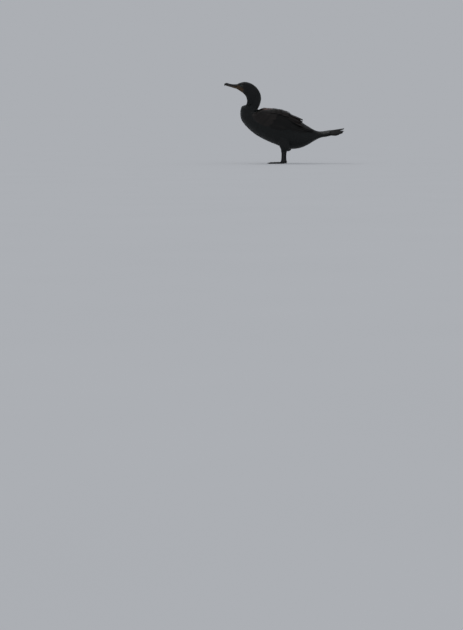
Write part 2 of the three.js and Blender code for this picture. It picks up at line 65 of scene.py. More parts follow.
class Side(Enum):
    """The two sides of the bird, which looks along -X."""

    LEFT = -1
    RIGHT = 1

    @property
    def word(self) -> str:
        """The side's name in the names of pieces."""
        return self.name.lower()


class Outline(Enum):
    """Outlines of feathers: root width, start of full width, and the tip's share, roundness and width."""

    CONTOUR = (0.45, 0.35, 0.5, 2.0, 0.3)
    POINTED = (0.4, 0.4, 0.62, 1.6, 0.1)
    FLIGHT = (0.5, 0.15, 0.3, 1.9, 0.06)
    RECTRIX = (0.55, 0.12, 0.26, 1.9, 0.22)
    TUFT = (0.5, 0.3, 0.6, 1.7, 0.3)

    def width(self, t: Array) -> Array:
        """Half width along the feather, as a share of its widest.

        Args:
            t: Place along the feather, from 0 at the root to 1 at the tip.

        Returns:
            Shares between the tip's narrowest and 1.
        """
        root, full, tip, roundness, least = self.value
        rise = root + (1 - root) * smooth(t / full)
        reach = np.clip((t - 1 + tip) / tip, 0, 1)
        return rise * np.maximum((1 - reach**roundness) ** (1 / roundness), least)


def smooth(v: Array) -> Array:
    """Eases from 0 to 1 as v runs from 0 to 1."""
    v = np.clip(v, 0, 1)
    return v * v * (3 - 2 * v)


def bell(v: Array, width: float) -> Array:
    """A soft bump of height 1 round v = 0."""
    return np.exp(-((v / width) ** 2))


def away(angle: Array) -> Array:
    """Angle from the top to either side, from 0 to PI."""
    return np.abs((angle + math.pi) % (2 * math.pi) - math.pi)


@dataclass(frozen=True)
class Station:
    """One cross-section in side view: its upper point, its lower point and half its width, in millimetres."""

    name: str
    top: Pair
    low: Pair
    half: float


@dataclass
class Profile:
    """A body part as a row of cross-sections that a smooth skin runs through."""

    stations: Sequence[Station]
    offset: tuple[float, float, float] = (0.0, 0.0, 0.0)
    square: float = 2.0
    widest: float | Sequence[float] = 0.08
    relief: Shape | None = None

    def __post_init__(self) -> None:
        """Keeps the stations as rows of numbers, with lengths in metres."""
        sizes = np.array([(*s.top, *s.low, s.half) for s in self.stations]) * MM
        self.rows = np.column_stack([sizes, np.broadcast_to(self.widest, len(sizes))])

    @property
    def last(self) -> int:
        """Number of the last station."""
        return len(self.stations) - 1

    def through(self, s: Array) -> Array:
        """Values of a smooth curve through all stations at s.

        Args:
            s: Places along the part, where whole numbers are stations.

        Returns:
            Upper x, z, lower x, z, half width and how high it is widest, along the last axis.
        """
        rows = np.vstack([2 * self.rows[0] - self.rows[1], self.rows, 2 * self.rows[-1] - self.rows[-2]])
        i = np.clip(np.floor(s).astype(int), 0, self.last - 1)
        t = (s - i)[..., None]
        a, b, c, d = (rows[i + k] for k in range(4))
        return b + 0.5 * t * (c - a + t * (2 * a - 5 * b + 4 * c - d + t * (3 * (b - c) + d - a)))

    def point(self, s: Array, angle: Array, grow: Array | float = 0.0) -> Array:
        """Points of the skin.

        Args:
            s: Places along the part.
            angle: Angles round it, 0 on top and PI underneath, above 0 on the side of +Y.
            grow: Height above the plain skin.

        Returns:
            Points, with x, y and z along the last axis.
        """
        s, angle = np.broadcast_arrays(np.asarray(s, float), np.asarray(angle, float))
        v = self.through(s)
        if self.relief is not None:
            grow = grow + self.relief(s, angle)
        c, q = np.cos(angle), np.sin(angle)
        if self.square != 2.0:
            c = np.sign(c) * np.abs(c) ** (2 / self.square)
            q = np.sign(q) * np.abs(q) ** (2 / self.square)
        up = (v[..., [0, 1]] - v[..., [2, 3]]) / 2
        height = np.linalg.norm(up, axis=-1)
        rise = (c * (height + grow) + v[..., 5] * q * q * height) / height
        middle = (v[..., [0, 1]] + v[..., [2, 3]]) / 2 + up * rise[..., None]
        out = np.stack([middle[..., 0], q * (v[..., 4] + grow), middle[..., 1]], axis=-1)
        return out + np.array(self.offset)

    def axes(self, s: Array, angle: Array) -> tuple[Array, Array, Array, Array]:
        """Directions on the skin.

        Args:
            s: Places along the part.
            angle: Angles round it.

        Returns:
            The skin's normal, the unit direction along it, and the metres for one unit of s and of angle.
        """
        step = 1e-3
        here = self.point(s, angle)
        ds = (self.point(s + step, angle) - here) / step
        da = (self.point(s, angle + step) - here) / step
        normal = np.cross(ds, da)
        normal /= np.linalg.norm(normal, axis=-1, keepdims=True) + 1e-12
        long, round_ = np.linalg.norm(ds, axis=-1), np.linalg.norm(da, axis=-1)
        return normal, ds / (long[..., None] + 1e-12), long, round_


BODY = [
    Station("bill base", (-234, 396), (-236, 371.5), 11),
    Station("lores", (-217, 402.5), (-222.5, 363.8), 15.5),
    Station("crown", (-196, 406.5), (-209, 354.2), 19),
    Station("hind crown", (-175, 402.6), (-198, 344.6), 20.5),
    Station("throat", (-155, 393.5), (-190, 334.5), 21.5),
    Station("nape", (-134.5, 376), (-185.8, 322), 23),
    Station("upper neck", (-119, 350.8), (-184.3, 310.5), 24.5),
    Station("middle neck", (-113.8, 325), (-186, 300.5), 26),
    Station("neck bend", (-117, 304), (-190.5, 292.5), 28.5),
    Station("top of breast", (-122.5, 287.5), (-208.5, 286.2), 33),
    Station("neck root", (-128.5, 276), (-215.8, 270), 39),
    Station("fold behind neck", (-130, 269), (-218.2, 243), 46),
    Station("breast", (-121, 270.5), (-209.5, 212.5), 54),
    Station("shoulder", (-103, 276), (-183.5, 181), 60),
    Station("mantle", (-76, 274.7), (-145, 147.6), 65),
    Station("middle back", (-39, 272.2), (-98, 120.6), 68),
    Station("lower back", (6, 260.5), (-43.5, 97), 67),
    Station("loins", (50, 233.5), (17, 75.2), 61),
    Station("rump", (92, 204), (71.5, 76), 51),
    Station("vent", (128, 181), (114, 91), 38),
    Station("tail coverts", (158, 164.5), (148.5, 111.5), 27),
    Station("tail root", (184, 158.5), (182, 129.5), 20),
    Station("tail base", (213, 161), (211, 135.5), 14),
]
SHEATH = [
    Station("vent", (128, 181), (114, 91), 38),
    Station("tail coverts", (158, 164.5), (148.5, 111.5), 29),
    Station("tail root", (184, 160), (182, 128.5), 27),
    Station("tail base", (213, 163.5), (211, 134), 33),
    Station("tips of the upper coverts", (243, 169), (242, 142), 39),
    Station("under the tail", (258, 169), (260, 155), 25),
    Station("tips of the under coverts", (272, 170.5), (275, 166), 14),
]
SHEATH_WIDEST = (0.05, -0.1, -0.35, -0.5, -0.55, -0.6, -0.6)
UPPER_BILL = [
    Station("hook", (-298.45, 391), (-295.9, 385.6), 1.5),
    Station("hook bend", (-297.5, 396.8), (-292.6, 388.4), 3.4),
    Station("nail", (-291, 401), (-288.3, 391.8), 4.4),
    Station("behind nail", (-284, 401.4), (-283, 392), 5),
    Station("middle", (-271, 397.6), (-271.5, 389.8), 5.7),
    Station("ridge", (-253, 394.8), (-254, 386.5), 7.2),
    Station("base", (-236.5, 395.5), (-237, 383), 10.2),
    Station("under the skin", (-227, 394), (-228, 381), 9.4),
]
LOWER_BILL = [
    Station("tip", (-290.4, 391.4), (-290, 387.6), 2.2),
    Station("front", (-282, 392.6), (-281, 384.8), 4.3),
    Station("middle", (-266, 389.9), (-266, 380.4), 5.9),
    Station("rear", (-250, 386.7), (-250.5, 375.4), 7.8),
    Station("base", (-237, 383.7), (-237, 372), 9.9),
    Station("under the skin", (-227, 381), (-229, 371), 9.4),
]
THIGH = [
    Station("flank", (24, 158), (-30, 158), 20),
    Station("hip", (34, 130), (-27, 130), 22),
    Station("thigh", (38, 106), (-22, 106), 21.5),
    Station("knee", (37, 84), (-15, 86), 18.5),
    Station("shin", (26, 65), (-8, 71), 12),
    Station("ankle", (9.5, 60.5), (-7.5, 62.5), 6.6),
]
TARSUS = [
    Station("under the feathers", (12, 70), (-9, 73), 6.4),
    Station("ankle", (9, 60.5), (-7.5, 62.5), 6),
    Station("below ankle", (7.5, 51), (-6.3, 52), 4.6),
    Station("middle", (6.4, 36), (-6.2, 36), 4),
    Station("lower", (6.8, 22), (-7, 22), 4.6),
    Station("foot", (8, 12), (-9, 12), 6.2),
    Station("in the foot", (7, 8), (-8, 8), 5.4),
]
LEG_X = {Side.LEFT: -5.5 * MM, Side.RIGHT: 6.5 * MM}
LEG_SPREAD = 34 * MM


@dataclass(frozen=True)
class WingForm:
    """Where the folded wing lies on the body, in stations and degrees, and how far out its flesh stands."""

    start: float = 12.0
    end: float = 18.6
    top: tuple[float, ...] = (70, 44, 33, 27, 24, 22, 24, 34)
    low: tuple[float, ...] = (96, 108, 111, 109, 105, 97, 80, 56)
    depth: float = 7.6

    def edge(self, edge: tuple[float, ...], s: Array) -> Array:
        """Angle of an edge at s, in radians."""
        places = np.arange(len(edge))
        return np.radians(np.interp(np.clip(s - self.start, 0, len(edge) - 1), places, edge))

    def height(self, s: Array, angle: Array) -> Array:
        """Height of the wing's flesh over the body's skin.

        Args:
            s: Places along the body.
            angle: Angles round it.

        Returns:
            Heights in metres, 0 outside the wing.
        """
        a = away(angle)
        along = smooth((s - self.start) / 1.2 + 0.15) * smooth((self.end - s) / 2.2 + 0.1)
        top = smooth((a - self.edge(self.top, s)) / 0.3 + 0.15)
        low = smooth((self.edge(self.low, s) - a) / 0.3 + 0.15)
        return self.depth * MM * along * top * low


WING = WingForm()


def outwards(profile: Profile, x: float, z: float, stretch: Pair) -> float:
    """Finds how far out the side of a part lies where it is seen at x and z.

    Args:
        profile: The part.
        x: Place along the bird.
        z: Height.
        stretch: Stations to look between.

    Returns:
        Its distance from the middle plane.
    """
    s, a = np.meshgrid(np.linspace(*stretch, 241), np.linspace(0.02, 3.12, 241), indexing="ij")
    p = profile.point(s, a)
    i = np.unravel_index(np.argmin((p[..., 0] - x) ** 2 + (p[..., 2] - z) ** 2), s.shape)
    return float(p[i][1])


# Meshes

def deselect() -> None:
    """Clears the selection, so that an operator acts only on what comes next."""
    bpy.ops.object.select_all(action="DESELECT")


def pick(piece: Piece) -> None:
    """Selects one piece alone and makes it active."""
    deselect()
    piece.select_set(True)
    bpy.context.view_layer.objects.active = piece


def named(name: str) -> Piece:
    """Names the primitive that was just added, and its mesh."""
    piece = bpy.context.object
    piece.name = piece.data.name = name
    return piece


def settle(piece: Piece) -> Piece:
    """Applies a piece's place, turns its faces outwards and smooths it.

    Args:
        piece: The piece.

    Returns:
        The same piece.
    """
    pick(piece)
    bpy.ops.object.transform_apply(location=True, rotation=True, scale=True)
    bpy.ops.object.mode_set(mode="EDIT")
    bpy.ops.mesh.select_all(action="SELECT")
    bpy.ops.mesh.remove_doubles(threshold=1e-6)
    bpy.ops.mesh.normals_make_consistent(inside=False)
    bpy.ops.object.mode_set(mode="OBJECT")
    bpy.ops.object.shade_smooth()
    return piece


def corners(piece: Piece) -> Array:
    """Points of a piece's mesh, with x, y and z along the last axis."""
    flat = np.empty(len(piece.data.vertices) * 3)
    piece.data.vertices.foreach_get("co", flat)
    return flat.reshape(-1, 3)


def bend(piece: Piece, points: Array) -> Piece:
    """Moves the points of a piece's mesh to new places and settles it."""
    piece.data.vertices.foreach_set("co", points.ravel())
    piece.data.update()
    return settle(piece)


def fold(turn: Array) -> tuple[Array, Array]:
    """Reads angles round a flattened tube.

    Args:
        turn: Angles from -PI to PI.

    Returns:
        Shares across the tube, and whether each angle is on its upper face.
    """
    upper = np.abs(turn) <= math.pi / 2 + 1e-6
    return 0.5 + np.where(upper, turn, np.sign(turn) * (math.pi - np.abs(turn))) / math.pi, upper


def sleeve(name: str, around: int, along: int, place: Shape, flat_ends: bool = False) -> Piece:
    """Rolls a grid into a closed tube with its ends drawn together.

    Args:
        name: The piece's name.
        around: Faces round the tube.
        along: Faces along it.
        place: Gives points for shares t along the tube and angles round it.
        flat_ends: True closes each end along a line between upper and lower face, not at a point.

    Returns:
        The closed piece.
    """
    deselect()
    bpy.ops.mesh.primitive_grid_add(x_subdivisions=around, y_subdivisions=along, size=1)
    piece = named(name)
    flat = corners(piece)
    t = flat[:, 1] + 0.5
    rim = 1 / along
    inner = np.clip((t - rim) / (1 - 2 * rim), 0, 1)
    turn = flat[:, 0] * 2 * math.pi
    points = place(inner, turn)
    for end, here in ((0.0, t < rim / 2), (1.0, t > 1 - rim / 2)):
        if flat_ends:
            facing = np.where(turn < 0, -math.pi, math.pi) - turn
            points[here] = (points[here] + place(inner, facing)[here]) / 2
        else:
            ring = place(np.full(64, end), np.linspace(-math.pi, math.pi, 64, endpoint=False))
            points[here] = ring.mean(axis=0)
    return bend(piece, points)


def loft(name: str, profile: Profile, start: float, end: float, around: int, along: int,
         grow: Shape | float = 0.0) -> Piece:
    """Makes the stretch of a profile between two places.

    Args:
        name: The piece's name.
        profile: The part.
        start: First place.
        end: Last place.
        around: Faces round it.
        along: Faces along it.
        grow: Height above the plain skin, or a function of place and angle that gives it.

    Returns:
        The closed piece.
    """
    def place(t: Array, angle: Array) -> Array:
        """Points of the profile at a share of the stretch."""
        s = start + (end - start) * t
        return profile.point(s, angle, grow(s, angle) if callable(grow) else grow)

    return sleeve(name, around, along, place)


def combine(base: Piece, others: Sequence[Piece], operation: str = "UNION") -> None:
    """Joins or cuts closed pieces, and removes the pieces used.

    Args:
        base: The piece that is kept.
        others: The pieces that are joined to it or cut from it.
        operation: UNION or DIFFERENCE.
    """
    for other in others:
        step = base.modifiers.new("combine", "BOOLEAN")
        step.operation = operation
        step.object = other
        step.solver = "MANIFOLD"
        pick(base)
        bpy.ops.object.modifier_apply(modifier=step.name)
        bpy.data.objects.remove(other)


def finish_piece(piece: Piece, material: Material, slot: str, *nodes: str) -> Piece:
    """Dresses a piece, puts it on the bird and hides the solids it stands for.

    Args:
        piece: The piece.
        material: Its finish.
        slot: Not used.
        *nodes: Solids that it replaces.

    Returns:
        The same piece.
    """
    piece.data.materials.clear()
    piece.data.materials.append(material)
    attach(piece, "root")
    if nodes:
        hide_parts(*nodes)
    LOG.info("%s: %d faces", piece.name, len(piece.data.polygons))
    return piece


# Shader nodes

class Graph:
    """Adds and links the nodes of one tree."""

    def __init__(self, tree: bpy.types.NodeTree) -> None:
        """Keeps the tree."""
        self.tree = tree

    def node(self, kind: str, **settings: object) -> bpy.types.Node:
        """Adds a node and sets its properties."""
        made = self.tree.nodes.new(kind)
        for key, value in settings.items():
            setattr(made, key, value)
        return made

    def feed(self, socket: Socket, value: object) -> None:
        """Links an output to a socket, or sets the socket to a number or a colour."""
        if isinstance(value, Socket):
            self.tree.links.new(value, socket)
        elif isinstance(value, tuple) and len(value) == 3 and socket.type == "RGBA":
            socket.default_value = (*value, 1.0)
        else:
            socket.default_value = value

    def math(self, operation: str, *values: object) -> Socket:
        """Adds a Math node and gives its output."""
        made = self.node("ShaderNodeMath", operation=operation)
        for socket, value in zip(made.inputs, values):
            self.feed(socket, value)
        return made.outputs[0]

    def plus(self, *values: object) -> Socket:
        """Adds values up."""
        return reduce(lambda a, b: self.math("ADD", a, b), values)

    def times(self, *values: object) -> Socket:
        """Multiplies values."""
        return reduce(lambda a, b: self.math("MULTIPLY", a, b), values)

    def attribute(self, name: str) -> Socket:
        """A number that the mesh carries."""
        return self.node("ShaderNodeAttribute", attribute_name=name).outputs["Fac"]

    def mix(self, share: object, a: object, b: object) -> Socket:
        """Mixes two colours and gives the result."""
        made = self.node("ShaderNodeMix", data_type="RGBA")
        for name, value in (("Factor_Float", share), ("A_Color", a), ("B_Color", b)):
            self.feed(next(i for i in made.inputs if i.identifier == name), value)
        return next(o for o in made.outputs if o.identifier == "Result_Color")

    def ramp(self, value: object, start: float, end: float, low: float = 0.0, high: float = 1.0
             ) -> Socket:
        """Maps a value smoothly from one range to another and gives the result."""
        made = self.node("ShaderNodeMapRange", interpolation_type="SMOOTHSTEP")
        for name, number in (("From Min", start), ("From Max", end), ("To Min", low), ("To Max", high)):
            made.inputs[name].default_value = number
        self.feed(made.inputs["Value"], value)
        return made.outputs["Result"]

    def split(self, vector: Socket) -> Sequence[Socket]:
        """Splits a vector into x, y and z."""
        made = self.node("ShaderNodeSeparateXYZ")
        self.feed(made.inputs[0], vector)
        return made.outputs

    def place(self, scale: Sequence[float] = (1, 1, 1), offset: Sequence[float] = (0, 0, 0)) -> Socket:
        """Object coordinates, moved by offset and then scaled."""
        here = self.node("ShaderNodeTexCoord").outputs["Object"]
        for operation, amount in (("ADD", offset), ("MULTIPLY", scale)):
            made = self.node("ShaderNodeVectorMath", operation=operation)
            made.inputs[1].default_value = amount
            self.feed(made.inputs[0], here)
            here = made.outputs[0]
        return here

    def noise(self, vector: Socket, scale: float, detail: float = 3.0) -> Socket:
        """Noise from 0 to 1."""
        made = self.node("ShaderNodeTexNoise")
        made.inputs["Scale"].default_value = scale
        made.inputs["Detail"].default_value = detail
        self.feed(made.inputs["Vector"], vector)
        return made.outputs["Fac"]

    def cells(self, vector: Socket, scale: float) -> Socket:
        """Distance to the edge of the nearest cell, for scales and pebbled skin."""
        made = self.node("ShaderNodeTexVoronoi", feature="DISTANCE_TO_EDGE")
        made.inputs["Scale"].default_value = scale
        self.feed(made.inputs["Vector"], vector)
        return made.outputs["Distance"]

    def bump(self, height: Socket, distance: float, strength: float = 1.0) -> Socket:
        """Turns a height into a bumped normal."""
        made = self.node("ShaderNodeBump")
        made.inputs["Distance"].default_value = distance
        made.inputs["Strength"].default_value = strength
        self.feed(made.inputs["Height"], height)
        return made.outputs["Normal"]


class Surface(Graph):
    """A material, and the nodes that feed its Principled shader."""

    def __init__(self, name: str, constants: dict[str, object]) -> None:
        """Starts the material.

        Args:
            name: The material's name.
            constants: Values that are the same all over, set on the shader's own sockets.
        """
        self.material = bpy.data.materials.new(name)
        self.material.use_nodes = True
        super().__init__(self.material.node_tree)
        self.shader = self.tree.nodes["Principled BSDF"]
        for key, value in constants.items():
            self.feed(self.shader.inputs[key], value)

    def dress(self, *values: Socket) -> Material:
        """Feeds colour, roughness and normal, as far as they are given, and gives the material."""
        for name, value in zip(("Base Color", "Roughness", "Normal"), values):
            self.feed(self.shader.inputs[name], value)
        return self.material


class VaneGroup:
    """Node group for a feather: masks of its shaft and margin, and the height of its barbs."""

    NAME = "Feather vane"

    @classmethod
    def tree(cls) -> bpy.types.NodeTree:
        """Gives the group, made on the first call."""
        if cls.NAME in bpy.data.node_groups:
            return bpy.data.node_groups[cls.NAME]
        tree = bpy.data.node_groups.new(cls.NAME, "ShaderNodeTree")
        for name, kind in (("Vane", "NodeSocketVector"), ("Reach", "NodeSocketFloat"),
                           ("Barb spacing", "NodeSocketFloat")):
            tree.interface.new_socket(name, in_out="INPUT", socket_type=kind)
        for name in ("Shaft", "Margin", "Height"):
            tree.interface.new_socket(name, in_out="OUTPUT", socket_type="NodeSocketFloat")
        graph = Graph(tree)
        inputs = graph.node("NodeGroupInput").outputs
        outputs = graph.node("NodeGroupOutput").inputs
        across, along, _ = graph.split(inputs["Vane"])
        out = graph.math("ABSOLUTE", graph.math("SUBTRACT", across, 0.5))
        shaft = graph.ramp(out, 0.05, 0.012)
        edge = graph.ramp(out, 0.38, 0.45)
        tip = graph.ramp(along, 0.86, 0.95)
        slant = graph.math("SUBTRACT", graph.times(along, inputs["Reach"]), graph.times(out, 0.03))
        phase = graph.math("DIVIDE", slant, inputs["Barb spacing"])
        ridge = graph.times(graph.plus(graph.math("SINE", graph.times(phase, 2 * math.pi)), 1.0), 0.5)
        graph.feed(outputs["Shaft"], shaft)
        graph.feed(outputs["Margin"], graph.math("MAXIMUM", edge, tip))
        graph.feed(outputs["Height"], graph.math("MAXIMUM", ridge, graph.times(shaft, 2.5)))
        return tree


@dataclass(frozen=True)
class PlumageFinish:
    """Finish of one kind of feather, from its colours and its gloss."""

    name: str
    dark: Colour
    light: Colour
    margin: Colour
    shaft: Colour
    roughness: float = 0.42
    specular: float = 0.28
    sheen: float = 0.05
    sheen_tint: Colour = (0.35, 0.55, 0.5)
    barbs: float = 0.0009
    barb_height: float = 0.00007
    # Painted highlight: a pale brown patch on top of the front of the back, standing in for light from above.
    faded: Colour | None = None

    def material(self) -> Material:
        """Builds the material."""
        graph = Surface(self.name, {
            "Specular IOR Level": self.specular, "Sheen Weight": self.sheen, "Sheen Roughness": 0.35,
            "Sheen Tint": self.sheen_tint,
        })
        group = graph.node("ShaderNodeGroup", node_tree=VaneGroup.tree())
        graph.feed(group.inputs["Vane"], graph.node("ShaderNodeUVMap", uv_map="Vane").outputs["UV"])
        graph.feed(group.inputs["Reach"], graph.attribute("reach"))
        graph.feed(group.inputs["Barb spacing"], self.barbs)
        patches = graph.noise(graph.place(), 38, 4)
        share = graph.plus(graph.times(graph.attribute("tone"), 0.6), graph.times(patches, 0.45))
        colour = graph.mix(share, self.dark, self.light)
        # Mixes in the painted highlight on top of the mantle, which stands in for light from above.
        if self.faded is not None:
            colour = graph.mix(self.worn(graph), colour, self.faded)
        colour = graph.mix(group.outputs["Margin"], colour, self.margin)
        colour = graph.mix(graph.times(group.outputs["Shaft"], 0.8), colour, self.shaft)
        rough = graph.plus(self.roughness - 0.08, graph.times(patches, 0.16))
        return graph.dress(colour, rough, graph.bump(group.outputs["Height"], self.barb_height, 0.7))

    def worn(self, graph: Graph) -> Socket:
        """Mask of the painted highlight on top of the front of the back, where light from above falls, ragged
        at its edges.
        """
        x, y, z = graph.split(graph.place())
        wavy = graph.plus(x, graph.times(graph.noise(graph.place(), 70, 4), 0.024))
        return graph.times(
            graph.ramp(wavy, -0.1, -0.088), graph.ramp(wavy, -0.036, -0.056), graph.ramp(z, 0.2605, 0.267),
            graph.ramp(graph.math("ABSOLUTE", y), 0.052, 0.04),
            graph.ramp(graph.noise(graph.place(), 110, 4), 0.36, 0.6, 0.2, 1))


@dataclass(frozen=True)
class SkinFinish:
    """Finish of the skin: dark under the feathers, orange-yellow and pebbled where it is bare."""

    name: str
    covered: Colour = (0.006, 0.007, 0.007)
    bare: Colour = (0.06, 0.029, 0.006)
    deep: Colour = (0.018, 0.0105, 0.0035)
    pebble: float = 900.0

    def material(self, always_bare: bool = False) -> Material:
        """Builds the material.

        Args:
            always_bare: True for a piece that is bare all over.

        Returns:
            The material.
        """
        graph = Surface(self.name, {"Specular IOR Level": 0.4})
        here = graph.place()
        pebbles = graph.cells(here, self.pebble)
        blotch = graph.noise(here, 120, 4)
        colour = graph.mix(graph.ramp(pebbles, 0.0, 0.12), self.deep, self.bare)
        colour = graph.mix(graph.ramp(blotch, 0.45, 0.75, 0, 0.55), colour, self.deep)
        if not always_bare:
            colour = graph.mix(graph.attribute("bare"), self.covered, colour)
        return graph.dress(colour, graph.ramp(blotch, 0.2, 0.8, 0.42, 0.6),
                           graph.bump(graph.ramp(pebbles, 0.0, 0.22), 0.0002, 0.6))


@dataclass(frozen=True)
class HornFinish:
    """Finish of horn that runs from one colour to another along X, with fine streaks along its length."""

    name: str
    front: Colour
    rear: Colour
    ridge: Colour
    start: float
    end: float
    ridge_z: float
    roughness: float = 0.34

    def material(self) -> Material:
        """Builds the material."""
        graph = Surface(self.name, {"Specular IOR Level": 0.5, "Coat Weight": 0.15})
        x, _, z = graph.split(graph.place())
        streaks = graph.noise(graph.place((60, 900, 900)), 1.0, 4)
        colour = graph.mix(graph.ramp(x, self.start, self.end), self.front, self.rear)
        line = graph.math("SUBTRACT", z, graph.times(x, -0.06))
        colour = graph.mix(graph.ramp(line, self.ridge_z - 0.0025, self.ridge_z + 0.0015), colour, self.ridge)
        colour = graph.mix(graph.ramp(streaks, 0.4, 0.72, 0, 0.6), colour, self.ridge)
        return graph.dress(colour, graph.plus(self.roughness - 0.06, graph.times(streaks, 0.16)),
                           graph.bump(streaks, 0.00025, 0.5))


@dataclass(frozen=True)
class ScaleFinish:
    """Finish of the black scaled skin of legs and feet."""

    name: str = "Leg scales"
    plate: Colour = (0.0045, 0.0045, 0.005)
    groove: Colour = (0.012, 0.0115, 0.0105)
    cells: float = 420.0

    def material(self) -> Material:
        """Builds the material."""
        graph = Surface(self.name, {"Specular IOR Level": 0.35})
        edges = graph.cells(graph.place((1, 1, 1.25)), self.cells)
        dust = graph.noise(graph.place(), 260, 5)
        plates = graph.ramp(edges, 0.02, 0.16)
        colour = graph.mix(plates, self.groove, self.plate)
        colour = graph.mix(graph.ramp(dust, 0.5, 0.8, 0, 0.5), colour, self.groove)
        return graph.dress(colour, graph.ramp(dust, 0.2, 0.8, 0.36, 0.58), graph.bump(plates, 0.00035, 0.7))


@dataclass(frozen=True)
class EyeFinish:
    """Finish of the eye: a black pupil in an emerald iris under a clear, wet surface."""

    name: str
    centre: tuple[float, float, float]
    pupil: float = 0.0021
    iris: float = 0.0043
    bright: Colour = (0.008, 0.075, 0.052)
    deep: Colour = (0.002, 0.016, 0.014)
    rim: Colour = (0.002, 0.004, 0.004)
    black: Colour = (0.001, 0.001, 0.001)
    spokes: float = 26.0

    def material(self) -> Material:
        """Builds the material."""
        graph = Surface(self.name, {
            "Specular IOR Level": 0.3, "Coat Weight": 0.6, "Coat Roughness": 0.02, "Roughness": 0.2,
        })
        x, _, z = graph.split(graph.place(offset=tuple(-c for c in self.centre)))
        radius = graph.math("SQRT", graph.plus(graph.times(x, x), graph.times(z, z)))
        spokes = graph.math("SINE", graph.times(graph.math("ARCTAN2", z, x), self.spokes))
        flecks = graph.noise(graph.place(), 900, 3)
        fibre = graph.times(graph.plus(graph.math("ABSOLUTE", spokes), flecks), 0.5)
        colour = graph.mix(graph.ramp(fibre, 0.2, 0.75), self.deep, self.bright)
        colour = graph.mix(graph.ramp(radius, self.iris * 0.86, self.iris), colour, self.rim)
        hole = graph.ramp(radius, self.pupil * 1.08, self.pupil * 0.94)
        return graph.dress(graph.mix(hole, colour, self.black))


BLACK = PlumageFinish("Black plumage", (0.0045, 0.0055, 0.0055), (0.009, 0.012, 0.012),
                      (0.0035, 0.004, 0.004), (0.004, 0.004, 0.004))
FACE = PlumageFinish("Face plumage", (0.0045, 0.005, 0.005), (0.01, 0.011, 0.011),
                     (0.004, 0.005, 0.005), (0.004, 0.004, 0.004), roughness=0.5, sheen=0.08, barbs=0.0005)
# The bronze finish carries a painted highlight: a pale brown patch on top of the front of the back, for light
# from above.
BRONZE = PlumageFinish("Bronze plumage", (0.012, 0.01, 0.009), (0.026, 0.02, 0.0175),
                       (0.0035, 0.0035, 0.0035), (0.004, 0.0035, 0.0035), roughness=0.46, specular=0.25,
                       sheen_tint=(0.6, 0.5, 0.42), faded=(0.32, 0.17, 0.145))
FLIGHT = PlumageFinish("Flight feathers", (0.005, 0.005, 0.0048), (0.0105, 0.0098, 0.009),
                       (0.003, 0.003, 0.003), (0.022, 0.019, 0.016), roughness=0.46, specular=0.2,
                       sheen=0.02, barbs=0.0011)
TAIL_QUILLS = PlumageFinish("Tail feathers", (0.0035, 0.0035, 0.0035), (0.007, 0.0065, 0.006),
                            (0.0025, 0.0025, 0.0025), (0.02, 0.017, 0.014), roughness=0.55, specular=0.12,
                            sheen=0.0, barbs=0.0011)
SKIN = SkinFinish("Skin")
POUCH_SKIN = SkinFinish("Pouch skin", pebble=1100.0)
UPPER_HORN = HornFinish("Upper bill", (0.014, 0.0115, 0.01), (0.014, 0.011, 0.009), (0.005, 0.0045, 0.005),
                        -0.29, -0.235, 0.4142)
LOWER_HORN = HornFinish("Lower bill", (0.024, 0.019, 0.011), (0.07, 0.034, 0.008), (0.016, 0.012, 0.007),
                        -0.286, -0.236, 0.42)
CLAW_HORN = HornFinish("Claw", (0.006, 0.006, 0.006), (0.012, 0.011, 0.01), (0.006, 0.006, 0.006),
                       -0.1, 0.02, 0.5, roughness=0.26)


# Feathers

